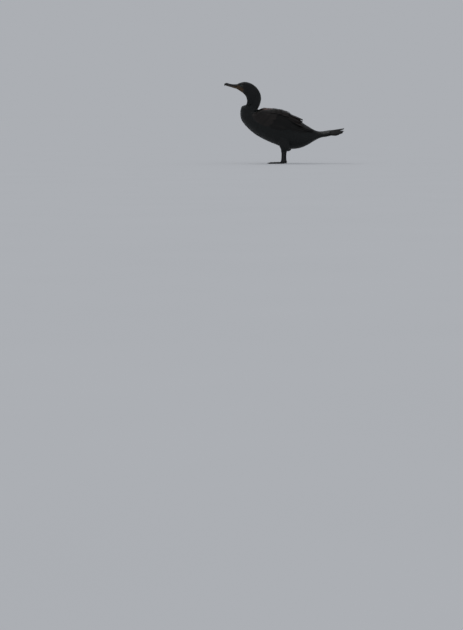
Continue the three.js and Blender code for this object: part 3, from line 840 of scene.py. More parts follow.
@dataclass
class Vanes:
    """Closed, lens-shaped feathers of one piece, gathered as arrays."""

    points: list[Array] = field(default_factory=list)
    faces: list[Array] = field(default_factory=list)
    vane: list[Array] = field(default_factory=list)
    bake: list[Array] = field(default_factory=list)
    tone: list[Array] = field(default_factory=list)
    reach: list[Array] = field(default_factory=list)
    rims: list[Array] = field(default_factory=list)
    count: int = 0

    BAKE_PATCH = 0.003

    def add(self, upper: Array, lower: Array, root: Array, tone: Array, reach: Array) -> None:
        """Adds feathers that share one grid.

        Args:
            upper: Points of the upper faces, by feather, row and column.
            lower: Points of the lower faces in the same order.
            root: Each feather's place on the unwrapped skin, from 0 to 1.
            tone: A number from 0 to 1 for each feather, for its colour.
            reach: Each feather's length.
        """
        number, rows, columns = upper.shape[:3]
        grid = np.arange(rows * columns).reshape(rows, columns)
        inner = np.arange((rows - 2) * (columns - 2)).reshape(rows - 2, columns - 2)
        under = grid.copy()
        under[1:-1, 1:-1] = grid.size + inner
        size = grid.size + inner.size

        def quads(ids: Array) -> Array:
            """Faces of a grid of vertex numbers."""
            return np.stack([ids[:-1, :-1], ids[1:, :-1], ids[1:, 1:], ids[:-1, 1:]], axis=-1).reshape(-1, 4)

        pattern = np.vstack([quads(grid), quads(under)[:, ::-1]])
        shells = (upper.reshape(number, -1, 3), lower[:, 1:-1, 1:-1].reshape(number, -1, 3))
        t, u = np.meshgrid(np.linspace(0, 1, rows), np.linspace(0, 1, columns), indexing="ij")
        plan = np.stack([u, t], -1)
        both = np.concatenate([plan.reshape(-1, 2), plan[1:-1, 1:-1].reshape(-1, 2)])
        rim = np.zeros((rows, columns), bool)
        rim[[0, -1], :] = rim[:, [0, -1]] = True
        first = self.count + size * np.arange(number)[:, None]
        self.points.append(np.concatenate(shells, axis=1).reshape(-1, 3))
        self.faces.append((pattern + first[..., None]).reshape(-1, 4))
        self.vane.append(np.tile(both, (number, 1)))
        self.bake.append((root[:, None, :] + (both[None] - 0.5) * self.BAKE_PATCH).reshape(-1, 2))
        self.tone.append(np.repeat(tone, size))
        self.reach.append(np.repeat(reach, size))
        self.rims.append((grid[rim] + first).ravel())
        self.count += size * number

    def piece(self, name: str) -> Piece:
        """Makes the mesh of all feathers added so far.

        Args:
            name: The piece's name.

        Returns:
            The new object.
        """
        mesh = bpy.data.meshes.new(name)
        faces = np.concatenate(self.faces)
        mesh.from_pydata(np.concatenate(self.points).tolist(), [], faces.tolist())
        order = faces.ravel()
        for key, values in (("Vane", self.vane), ("OFBake", self.bake)):
            layer = mesh.uv_layers.new(name=key)
            layer.data.foreach_set("uv", np.concatenate(values)[order].ravel())
        for key, values in (("tone", self.tone), ("reach", self.reach)):
            mesh.attributes.new(key, "FLOAT", "POINT").data.foreach_set("value", np.concatenate(values))
        on_rim = np.zeros(self.count, bool)
        on_rim[np.concatenate(self.rims)] = True
        ends = np.empty(len(mesh.edges) * 2, int)
        mesh.edges.foreach_get("vertices", ends)
        sharp = on_rim[ends.reshape(-1, 2)].all(axis=1)
        mesh.attributes.new("sharp_edge", "BOOLEAN", "EDGE").data.foreach_set("value", sharp)
        mesh.polygons.foreach_set("use_smooth", np.ones(len(mesh.polygons), bool))
        mesh.update()
        piece = bpy.data.objects.new(name, mesh)
        bpy.context.collection.objects.link(piece)
        return piece


@dataclass(frozen=True)
class Lie:
    """How feathers of one tract lie: sizes in millimetres, angles in degrees."""

    outline: Outline
    columns: int
    rows: int
    low: float
    thick: float = 0.35
    curve: float = 1.0
    lean: float = 0.0
    fray: float = 0.0
    ragged: float = 0.0


@dataclass(frozen=True)
class Tract:
    """One piece of small feathers: its first and last place, its rows' spacing, its feathers and its finish.

    The spacing is a distance in millimetres, its growth from station to station, and where it holds.
    Length and width are multiples of it, and high is how many millimetres the tips stand out.
    """

    name: str
    start: float
    end: float
    spacing: tuple[float, float, float]
    size: Pair
    high: float
    lie: Lie
    finish: PlumageFinish = BLACK
    slot: str = "black_plumage"

    def gap(self, s: Array) -> Array:
        """Distance between the rows at s, in metres."""
        first, slope, origin = self.spacing
        return (first + slope * (s - origin)) * MM


class Coat:
    """Lays feathers on a part's skin."""

    RING_POINTS = 97
    CROWDING = 0.85
    JITTER_ACROSS = 0.09
    JITTER_ALONG = 0.06
    SIZE_SPREAD = 0.07
    TURN_SPREAD = 4

    def __init__(self, skin: Profile, seed: int, height: Shape | None = None) -> None:
        """Keeps the skin, the height of what lies on it, and a seeded source of variation."""
        self.skin = skin
        self.height = height
        self.draw = np.random.default_rng(seed)

    def lay(self, vanes: Vanes, lie: Lie, s: Array, angle: Array, heading: Array, length: Array, width: Array,
            high: Array) -> None:
        """Lays feathers from their roots.

        Args:
            vanes: The feathers of the piece, which these join.
            lie: How they lie.
            s: Place of each root along the part.
            angle: Angle of each root.
            heading: Turn away from straight back, in radians, upwards above 0.
            length: Lengths in metres.
            width: Widths in metres.
            high: Height of the tips above the skin in metres.
        """
        number = len(s)
        rows, columns = lie.rows + 1, lie.columns + 1
        t = np.linspace(0, 1, rows)
        u = np.linspace(-1, 1, columns)
        turn = np.where(angle < 0, -1.0, 1.0) * heading
        hop = length / lie.rows
        at, turned, path = s, angle, []
        for _ in range(rows):
            _, _, long, round_ = self.skin.axes(at, turned)
            path.append((at, turned, long, round_))
            at = at + np.cos(turn) * hop / np.maximum(long, LEAST_ALONG)
            turned = turned - np.sin(turn) * hop / np.maximum(round_, LEAST_ROUND)
        path_s, path_a, grain_s, grain_a = np.stack(path, -1)[..., None]
        half = lie.outline.width(t)[None, :] * width[:, None] / 2
        half = half * (1 + lie.fray * (self.draw.random((number, rows)) - 0.5))
        out = half[:, :, None] * u[None, None, :]
        cos, sin = np.cos(turn)[:, None, None], np.sin(turn)[:, None, None]
        uneven = self.draw.uniform(-1, 0.3, (number, 1, columns)) * lie.ragged
        far = uneven * smooth((t - 0.55) / 0.45)[None, :, None] * length[:, None, None]
        vs = path_s + (sin * out + cos * far) / np.maximum(grain_s, LEAST_ALONG)
        va = path_a + (cos * out - sin * far) / np.maximum(grain_a, LEAST_ROUND)
        base = self.skin.point(vs, va)
        normal, _, _, _ = self.skin.axes(vs, va)
        rise = lie.low * MM + (high[:, None] - lie.low * MM) * t[None, :] ** lie.curve
        rise = rise[:, :, None] + lie.lean * out * np.sign(angle)[:, None, None]
        if self.height is not None:
            rise = rise + self.height(vs, va)
        body = np.sqrt(np.clip(1 - u**2, 0, 1))[None, None, :] * np.clip(1.15 - t, 0.2, 1)[None, :, None]
        belly = lie.thick * MM * body / 2
        upper = base + normal * (rise + belly)[..., None]
        lower = base + normal * (rise - belly)[..., None]
        root = np.stack([0.5 + angle / (2 * math.pi), s / self.skin.last], -1) * 0.98 + 0.01
        vanes.add(upper, lower, root, self.draw.random(number), length)

    def cover(self, tract: Tract, keep: Keep | None = None, ending: str = "") -> None:
        """Covers a stretch of the part with staggered rows of feathers, as one piece.

        Args:
            tract: The stretch and its feathers.
            keep: Tells for places, angles and points which roots are used; all are if it is not given.
            ending: Ending of the piece's name.
        """
        place, rows = tract.start, []
        while place < tract.end:
            _, _, long, _ = self.skin.axes(np.array([place]), np.array([math.pi / 2]))
            rows.append(place)
            place += float(tract.gap(np.array([place]))[0] / max(long[0], LEAST_ALONG))
        laid = []
        for i, row in enumerate(rows):
            turns = np.linspace(-math.pi, math.pi, self.RING_POINTS)
            ring = self.skin.point(np.full(self.RING_POINTS, row), turns)
            run = np.concatenate([[0], np.cumsum(np.linalg.norm(np.diff(ring, axis=0), axis=1))])
            gap = float(tract.gap(np.array([row]))[0])
            number = max(8, int(run[-1] / (gap * self.CROWDING)))
            steps = (np.arange(number) + 0.5 * (i % 2)) / number * run[-1]
            steps = steps + self.draw.normal(0, self.JITTER_ACROSS * gap, number)
            a = np.interp(steps % run[-1], run, turns)
            s = row + self.draw.normal(0, self.JITTER_ALONG, number) * gap / max(long[0], LEAST_ALONG)
            laid.append((s, a, np.full(number, gap)))
        s, a, gap = np.concatenate(laid, axis=1)
        if keep is not None:
            s, a, gap = np.stack([s, a, gap])[:, keep(s, a, self.skin.point(s, a))]
        number = len(s)
        _, _, here, _ = self.skin.axes(s, a)
        _, _, middle, _ = self.skin.axes(s, np.full(number, math.pi / 2))
        stretch = np.clip(here / np.maximum(middle, LEAST_ALONG), 0.55, 1.7)
        vary = self.draw.normal(1, self.SIZE_SPREAD, number)
        heading = np.radians(self.draw.normal(0, self.TURN_SPREAD, number))
        long, wide = tract.size
        vanes = Vanes()
        self.lay(vanes, tract.lie, s, a, heading, gap * long * vary * stretch, gap * wide * vary,
                 tract.high * MM * self.draw.normal(1, 0.1, number))
        finish_piece(vanes.piece(tract.name + ending), tract.finish.material(), tract.slot)


CONTOUR_LIE = Lie(Outline.CONTOUR, 8, 6, low=-2.7, thick=0.28, ragged=0.07)
HEAD_TRACT = Tract("head_feathers", 0.1, 5.2, (1.75, 0.42, 0), (3.5, 1.3), 0.1,
                   Lie(Outline.TUFT, 4, 4, low=-0.8, thick=0.16, ragged=0.16), FACE)
NECK_TRACT = Tract("neck_feathers", 5.0, 12.3, (3.8, 0.45, 5), (3.0, 1.45), 0.2,
                   Lie(Outline.TUFT, 6, 5, low=-2.0, thick=0.22, ragged=0.12))
BODY_TRACTS = [
    Tract(name, start, end, (7.3, 0, 0), (2.9, 1.6), 0.8, CONTOUR_LIE)
    for name, start, end in (("breast_feathers", 11.9, 16.3), ("belly_feathers", 16.3, 19.4),
                             ("vent_feathers", 19.4, 21.3))
]
MANTLE_TRACT = Tract("mantle_feathers", 11.9, 17.3, (7.5, 1.0, 12.2), (2.8, 1.6), 2.8,
                     Lie(Outline.POINTED, 8, 9, low=-2.6, thick=0.4, lean=0.03, ragged=0.03), BRONZE,
                     "bronze_plumage")
THIGH_TRACT = Tract("thigh_feathers_", 0.9, 4.75, (6.4, -0.6, 0), (3.1, 1.45), 0.8,
                    Lie(Outline.TUFT, 6, 6, low=-1.6, thick=0.22, curve=0.8, ragged=0.14))
TAIL_TRACT = Tract("tail_coverts", 0.5, 4.3, (6.6, 0, 0), (4.6, 1.7), 0.6,
                   Lie(Outline.POINTED, 8, 10, low=-2.4, thick=0.35, ragged=0.05))


# The bird

POUCH_EDGE = ((-235.5, 382.3), (-199.5, 368.0))
GAPE = (-201.5 * MM, 368 * MM)
THROAT_SLANT = 0.28
EYE_CENTRE = (-212 * MM, 12.4 * MM, 386.5 * MM)
EYE_RADIUS = 5.8 * MM


def gape_height(x: Array) -> Array:
    """Height of the line of the mouth at x, both in metres."""
    (x0, z0), (x1, z1) = POUCH_EDGE
    return (z0 + (z1 - z0) * (x / MM - x0) / (x1 - x0)) * MM


def bare_mask(point: Array) -> Array:
    """Share of bare skin on the face: the lores, a ring round the eye and the throat in front of the gape.

    Args:
        point: Points on the head.

    Returns:
        Shares from 0 to 1.
    """
    x, z = point[..., 0], point[..., 2]
    x = x + (0.7 * np.sin(z / MM * 1.9) + 0.5 * np.sin(z / MM * 0.83 + 1)) * MM
    eye = np.hypot(point[..., 0] - EYE_CENTRE[0], z - EYE_CENTRE[2])
    ring = smooth((9.0 * MM - eye) / (1.6 * MM))
    upper = (392.5 - 0.26 * (x / MM + 234)) * MM
    lores = smooth((upper - z) / (1.2 * MM)) * smooth((-209 * MM - x) / (2.5 * MM))
    gape = smooth((-200 * MM - x + 0.3 * (z - GAPE[1])) / (2 * MM))
    gape = gape * smooth((gape_height(x) + 4.5 * MM - z) / (1.5 * MM))
    throat = smooth((GAPE[0] - x - THROAT_SLANT * (GAPE[1] - z)) / (2 * MM))
    throat = throat * smooth((gape_height(x) - z) / MM)
    front = smooth((-205 * MM - x) / (2 * MM))
    return np.clip(np.maximum.reduce([ring, lores * front, gape, throat]), 0, 1)


def head_relief(s: Array, angle: Array) -> Array:
    """Relief of the head: a brow over the eye, hollow lores and the crease of the mouth."""
    a = away(angle)
    brow = 1.1 * bell(s - 1.35, 0.5) * bell(a - 0.98, 0.2)
    lores = -0.9 * bell(s - 0.62, 0.45) * bell(a - 1.5, 0.3)
    cheek = 0.7 * bell(s - 2.1, 0.6) * bell(a - 1.85, 0.4)
    return (brow + lores + cheek) * MM


FORM = Profile(BODY, relief=head_relief)


@dataclass
class Trunk:
    """Head, neck, body, thighs and the root of the tail, under one skin."""

    around: int = 96
    along: int = 300
    coat: float = 2.6
    head_coat: float = 0.7
    thigh_coat: float = 1.6
    head_end: Pair = (-0.19, 0.34)

    def __post_init__(self) -> None:
        """Makes the profiles of the thighs."""
        self.thighs = {}
        for side in Side:
            self.thighs[side] = Profile(THIGH, (LEG_X[side], side.value * LEG_SPREAD, 0), widest=0)

    def depth(self, s: Array) -> Array:
        """Depth of the coat, from thin on the head to full on the body."""
        return (self.head_coat + (self.coat - self.head_coat) * smooth((s - 3) / 6)) * MM

    def skin(self) -> Piece:
        """Builds the skin of head, neck, body, wings' flesh and thighs."""
        skin = loft("skin", FORM, 0.0, FORM.last, self.around, self.along,
                    lambda s, a: -self.depth(s) + WING.height(s, a))
        combine(skin, [loft(f"thigh_{side.word}", self.thighs[side], 0.2, 5.0, 32, 28, -self.thigh_coat * MM)
                       for side in Side])
        sockets = []
        for side in Side:
            deselect()
            bpy.ops.mesh.primitive_uv_sphere_add(
                segments=32, ring_count=20, radius=EYE_RADIUS + 0.15 * MM,
                location=(EYE_CENTRE[0], side.value * EYE_CENTRE[1], EYE_CENTRE[2]))
            sockets.append(settle(named(f"socket_{side.word}")))
        combine(skin, sockets, "DIFFERENCE")
        pick(skin)
        bpy.ops.object.shade_smooth()
        points = corners(skin)
        mask = bare_mask(points) * (points[:, 0] < self.head_end[0]) * (points[:, 2] > self.head_end[1])
        skin.data.attributes.new("bare", "FLOAT", "POINT").data.foreach_set("value", mask)
        nodes = ["head", "neck_upper", "neck_lower", "torso", "thigh_left", "thigh_right"]
        return finish_piece(skin, SKIN.material(), "black_plumage", *nodes)

    def feathers(self) -> None:
        """Covers head, neck, body and thighs."""
        def clothed(s: Array, a: Array, p: Array) -> Array:
            """Keeps feathers off the bare skin of the face."""
            return (bare_mask(p) < 0.4) | (p[..., 2] < self.head_end[1])

        def outside(s: Array, a: Array, p: Array) -> Array:
            """Keeps feathers that neither the wings nor the mantle hide."""
            turned = np.abs(a)
            hidden = (s > WING.start + 0.3) & (s < WING.end - 1.2)
            hidden &= (turned > WING.edge(WING.top, s) + 0.06) & (turned < WING.edge(WING.low, s) - 0.16)
            mantle = (s > 12.3) & (s < 17.2) & (turned < WING.edge(WING.top, s) + 0.1)
            return ~hidden & ~mantle

        def between(s: Array, a: Array, p: Array) -> Array:
            """Keeps feathers between the wings."""
            return np.abs(a) < WING.edge(WING.top, s) + 0.16

        Coat(FORM, 101).cover(HEAD_TRACT, clothed)
        Coat(FORM, 102).cover(NECK_TRACT)
        body = Coat(FORM, 103, WING.height)
        for tract in BODY_TRACTS:
            body.cover(tract, outside)
        Coat(FORM, 104, WING.height).cover(MANTLE_TRACT, between)
        for side in Side:
            Coat(self.thighs[side], 110 + side.value).cover(THIGH_TRACT, ending=side.word)

    def build(self) -> None:
        """Builds the skin and its contour feathers."""
        self.skin()
        self.feathers()


@dataclass(frozen=True)
class Tier:
    """One row of feathers of the folded wing, from first to last: sizes in millimetres, angles in degrees."""

    name: str
    count: int
    start: Pair
    end: Pair
    length: Pair
    width: Pair
    heading: Pair
    high: Pair
    lean: float = 0.1
    low: float = -1.2
    outline: Outline = Outline.POINTED
    bronze: bool = True
    curve: float = 1.0
    alternate: float = 0.0


WING_TIERS = [
    Tier("primaries", 8, (16.2, 86), (16.0, 54), (126, 174), (17, 18), (13, 3), (2.4, 6), 0.16, -1,
         Outline.FLIGHT, False),
    Tier("secondaries", 11, (14.7, 102), (14.9, 48), (94, 126), (20, 22), (5, 2), (1.8, 3.4), 0.1, -1.3,
         Outline.FLIGHT, False),
    Tier("tertials", 5, (15.5, 44), (15.3, 25), (128, 116), (25, 24), (-2, -3), (12.5, 21.5), 0.14, curve=1.5,
         outline=Outline.CONTOUR, alternate=7),
    Tier("greater coverts", 12, (13.9, 103), (14.2, 47), (54, 62), (17, 19), (4, 2), (2.2, 2.8)),
    Tier("median coverts", 12, (13.3, 102), (13.6, 46), (42, 46), (15, 17), (4, 2), (2.2, 2.6)),
    Tier("lesser coverts, lower row", 12, (12.95, 101), (13.2, 46), (32, 35), (13, 14), (3, 2), (1.9, 2.3)),
    Tier("lesser coverts, middle row", 11, (12.62, 98), (12.85, 48), (30, 32), (12, 13), (3, 2), (1.8, 2.2)),
    Tier("lesser coverts, upper row", 9, (12.32, 95), (12.5, 56), (27, 29), (11, 12), (2, 2), (1.7, 2)),
    Tier("lesser coverts, wrist", 6, (12.08, 90), (12.15, 68), (24, 26), (10, 10), (2, 2), (1.6, 1.8)),
    Tier("scapulars, fifth row", 5, (15.0, 45), (14.8, 24), (70, 78), (21, 21), (-2, -2), (8, 12.5), 0.08,
         curve=1.4),
    Tier("scapulars, fourth row", 5, (14.5, 46), (14.3, 24), (58, 62), (20, 20), (-2, -2), (6.5, 11), 0.08,
         curve=1.2),
    Tier("scapulars, third row", 5, (14.0, 48), (13.8, 26), (50, 52), (19, 19), (-2, -2), (5, 9), 0.08),
    Tier("scapulars, second row", 5, (13.5, 50), (13.3, 28), (42, 44), (17, 17), (-1, -1), (4, 6.5), 0.08),
    Tier("scapulars, first row", 5, (13.0, 53), (12.8, 31), (34, 36), (15, 15), (0, 0), (3, 4.5), 0.08),
]


@dataclass
class Wing:
    """One folded wing, from the scapulars to the primaries."""

    side: Side
    jitter: float = 0.03

    def build(self) -> None:
        """Lays the wing's feathers tier by tier."""
        coat = Coat(Profile(BODY), 200 + self.side.value, WING.height)
        for bronze, finish, word in ((False, FLIGHT, "flight"), (True, BRONZE, "covert")):
            vanes = Vanes()
            for tier in (t for t in WING_TIERS if t.bronze == bronze):
                self.lay(coat, vanes, tier)
            piece = vanes.piece(f"{word}_feathers_{self.side.word}")
            finish_piece(piece, finish.material(), "bronze_plumage", f"wing_{self.side.word}")

    def lay(self, coat: Coat, vanes: Vanes, tier: Tier) -> None:
        """Lays one tier.

        Args:
            coat: The wing's coat.
            vanes: The feathers of the piece.
            tier: The tier.
        """
        t = np.linspace(0, 1, tier.count)
        draw = coat.draw

        def run(pair: tuple[float, float]) -> Array:
            """Values from the first to the last feather."""
            return pair[0] + (pair[1] - pair[0]) * t

        places, angles = zip(tier.start, tier.end)
        s = run(places) + self.jitter * draw.normal(0, 1, tier.count)
        angle = np.radians(run(angles)) * self.side.value
        heading = np.radians(run(tier.heading) + draw.normal(0, 1.2, tier.count))
        every_other = tier.alternate * np.where(np.arange(tier.count) % 2, -1, 1)
        length = (run(tier.length) + every_other) * draw.normal(1, 0.03, tier.count) * MM
        rows = 26 if tier.outline is Outline.FLIGHT else 16
        lie = Lie(tier.outline, 10, rows, tier.low, 0.6, tier.curve, tier.lean, fray=0.015, ragged=0.012)
        coat.lay(vanes, lie, s, angle, heading, length, run(tier.width) * MM, run(tier.high) * MM)


@dataclass
class Tail:
    """Twelve stiff feathers on a tented surface, and coverts over and under their roots, in millimetres."""

    count: int = 12
    root: Pair = (166, 155.5)
    tip: Pair = (302, 176)
    spread: float = 12
    width: float = 16
    fan: float = 15
    lengths: tuple[float, ...] = (1.0, 0.985, 0.85, 0.99, 0.95, 0.83)
    arch: float = 0.45
    drop: float = 20
    reach: float = 44
    step: float = 1.15
    rows: int = 40

    def tent(self, y: Array) -> Array:
        """How far the tail has dropped away from its ridge at y, in millimetres."""
        return self.drop * (y / self.reach) ** 2

    def vane(self, vanes: Vanes, aside: float, yaw: float, length: float, level: float,
             draw: np.random.Generator) -> None:
        """Adds one feather, laid out in plan and draped over the tent.

        Args:
            vanes: The feathers of the piece.
            aside: How far its root lies to the side.
            yaw: Its direction in plan, in radians.
            length: Its length.
            level: How far it lies under the middle feathers.
            draw: Source of variation.
        """
        t, u = np.meshgrid(np.linspace(0, 1, self.rows + 1), np.linspace(-1, 1, 9), indexing="ij")
        half = self.width / 2 * Outline.RECTRIX.width(t)
        half = half * (1 + 0.02 * (draw.random((self.rows + 1, 1)) - 0.5))
        t = t + 0.02 * draw.uniform(-1, 0.3, (1, t.shape[1])) * smooth((t - 0.8) / 0.2)
        x = self.root[0] + length * t * math.cos(yaw) - u * half * math.sin(yaw)
        y = aside + length * t * math.sin(yaw) + u * half * math.cos(yaw)
        run, climb = self.tip[0] - self.root[0], self.tip[1] - self.root[1]
        ridge = self.root[1] + climb * (x - self.root[0]) / run
        z = ridge - self.tent(y) - level - self.arch * half * u * u
        belly = 0.35 * np.sqrt(np.clip(1 - u**2, 0, 1)) * np.clip(1.1 - t, 0.25, 1)
        shaft = 0.35 * bell(u, 0.12) * (1 - t)
        upper = np.stack([x, y, z + belly + shaft], -1) * MM
        lower = np.stack([x, y, z - belly - shaft], -1) * MM
        place = np.array([[0.5 + aside / 200, 0.97]])
        vanes.add(upper[None], lower[None], place, draw.random(1), np.array([length * MM]))

    def build(self) -> None:
        """Builds the tail feathers and their coverts."""
        draw = np.random.default_rng(301)
        vanes = Vanes()
        run = self.tip[0] - self.root[0]
        for i, k in enumerate(np.linspace(-1, 1, self.count)):
            yaw = math.radians(self.fan * k)
            pair = int(abs(i - (self.count - 1) / 2))
            length = run * self.lengths[pair] / math.cos(yaw)
            level = abs(i - self.count // 2) * self.step
            self.vane(vanes, self.spread * k, yaw, length, level, draw)
        finish_piece(vanes.piece("tail_feathers"), TAIL_QUILLS.material(), "black_plumage", "tail")

        def shown(s: Array, a: Array, p: Array) -> Array:
            """Keeps all coverts over the tail, and under it those that narrow to a point."""
            beneath = (np.abs(a) > np.radians(112)) & (s < 4.3 - 1.6 * np.abs(p[:, 1]) / 0.03)
            return (s < 2.75) | beneath

        Coat(Profile(SHEATH, widest=SHEATH_WIDEST), 302).cover(TAIL_TRACT, shown)


@dataclass
class Bill:
    """The hooked upper bill, the lower bill and the bare pouch under them."""

    around: int = 48
    along: int = 96

    def upper_relief(self, s: Array, angle: Array) -> Array:
        """Relief of the upper bill: the groove along each side and the edge of the nail."""
        a = away(angle)
        groove = -0.75 * bell(a - 1.12, 0.16) * smooth((s - 2.3) / 0.7) * smooth((6.1 - s) / 1.2)
        nail = -0.35 * bell(s - 3.05, 0.16) * smooth((a - 0.3) / 0.5)
        lip = 0.25 * bell(a - 2.3, 0.22) * smooth((s - 1.5) / 1)
        return (groove + nail + lip) * MM

    def build(self) -> None:
        """Builds both halves of the bill and the pouch."""
        for word, stations, relief, horn, slot in (
                ("upper", UPPER_BILL, self.upper_relief, UPPER_HORN, "bill_horn"),
                ("lower", LOWER_BILL, 0.0, LOWER_HORN, "bare_skin")):
            half = loft(f"bill_{word}_horn", Profile(stations, square=2.5, widest=0), 0, len(stations) - 1,
                        self.around, self.along, relief)
            finish_piece(half, horn.material(), slot, f"bill_{word}")
        self.pouch()

    def pouch(self) -> None:
        """Builds the pleated skin of the throat, from the bill to behind the gape."""
        s, a = np.meshgrid(np.linspace(0, 2.8, 113), np.linspace(0, math.pi, 361), indexing="ij")
        p = FORM.point(s, a)
        above = p[..., 2] - gape_height(p[..., 0]) + 0.1 * MM
        behind = p[..., 0] - GAPE[0] + THROAT_SLANT * (GAPE[1] - p[..., 2])
        start = np.array([np.interp(0, -row, a[0]) for row in above])
        ends = np.array([np.interp(0, column, s[:, 0]) for column in behind.T])

        def place(t: Array, turn: Array) -> Array:
            """Points of the pouch: over the skin on one face, and inside it on the other."""
            share, outer = fold(turn)
            first = np.interp(t * 1.9, s[:, 0], start)
            angle = first + (2 * math.pi - 2 * first) * share
            folded = np.where(angle > math.pi, 2 * math.pi - angle, angle)
            reach = np.interp(folded, a[0], ends)
            inside = smooth((folded - first) / 0.3) * smooth(t / 0.15) * smooth((1 - t) / 0.2)
            pleats = 0.2 * np.sin(folded * 46) * inside
            edge = 0.9 * smooth((t - 0.9) / 0.1)
            grow = np.where(outer, 0.1 + pleats - edge, -1.7) * MM
            signed = np.where(angle > math.pi, angle - 2 * math.pi, angle)
            return FORM.point(t * reach, signed, grow)

        pouch = sleeve("pouch", 360, 52, place, flat_ends=True)
        finish_piece(pouch, POUCH_SKIN.material(always_bare=True), "bare_skin", "gular_pouch")


@dataclass
class Eyes:
    """Both eyes with their lids, in millimetres."""

    ring: float = 4.7
    lid: float = 0.95
    beads: int = 22

    def build(self) -> None:
        """Builds the eyeballs and the beaded lids."""
        finish = EyeFinish("Eye", EYE_CENTRE).material()
        lid_finish = ScaleFinish("Lid", (0.02, 0.03, 0.034), (0.05, 0.06, 0.06), 1200.0).material()
        for side in Side:
            y = side.value * EYE_CENTRE[1]
            deselect()
            bpy.ops.mesh.primitive_uv_sphere_add(
                segments=48, ring_count=32, radius=EYE_RADIUS, location=(EYE_CENTRE[0], y, EYE_CENTRE[2]),
                rotation=(math.pi / 2, 0, 0))
            ball = settle(named(f"eyeball_{side.word}"))
            finish_piece(ball, finish, "eye", f"eye_{side.word}")

            def place(t: Array, turn: Array, side: Side = side) -> Array:
                """Points of the lid's ring, which lies on the head round the eye."""
                bead = 1 + 0.16 * np.abs(np.sin(t * math.pi * self.beads))
                phi = t * 2 * math.pi
                x = EYE_CENTRE[0] + self.ring * MM * np.cos(phi)
                z = EYE_CENTRE[2] + self.ring * 0.94 * MM * np.sin(phi)
                _, first, back = np.unique(t, return_index=True, return_inverse=True)
                out = np.array([outwards(FORM, x[i], z[i], (0.4, 2.6)) for i in first])[back.ravel()]
                r = self.lid * MM * bead
                spread = 1 + r * np.cos(turn) / (self.ring * MM)
                return np.stack([EYE_CENTRE[0] + (x - EYE_CENTRE[0]) * spread,
                                 side.value * (out + 0.15 * MM + 0.75 * r * np.sin(turn)),
                                 EYE_CENTRE[2] + (z - EYE_CENTRE[2]) * spread], -1)

            finish_piece(self.ring_piece(f"lids_{side.word}", place), lid_finish, "leg_skin")

    def ring_piece(self, name: str, place: Shape) -> Piece:
        """Bends a torus to the places given.

        Args:
            name: The piece's name.
            place: Gives points for shares round the ring and angles round its section.

        Returns:
            The closed ring.
        """
        deselect()
        bpy.ops.mesh.primitive_torus_add(
            major_segments=88, minor_segments=12, major_radius=1, minor_radius=0.25)
        piece = named(name)
        x, y, z = corners(piece).T
        t = np.round((np.arctan2(y, x) / (2 * math.pi)) % 1, 6)
        return bend(piece, place(t, np.arctan2(z, np.hypot(x, y) - 1)))


@dataclass(frozen=True)
class Toe:
    """One toe: its angle outwards in degrees, its length and radius in millimetres, and its joints."""

    angle: float
    length: float
    radius: float
    joints: int


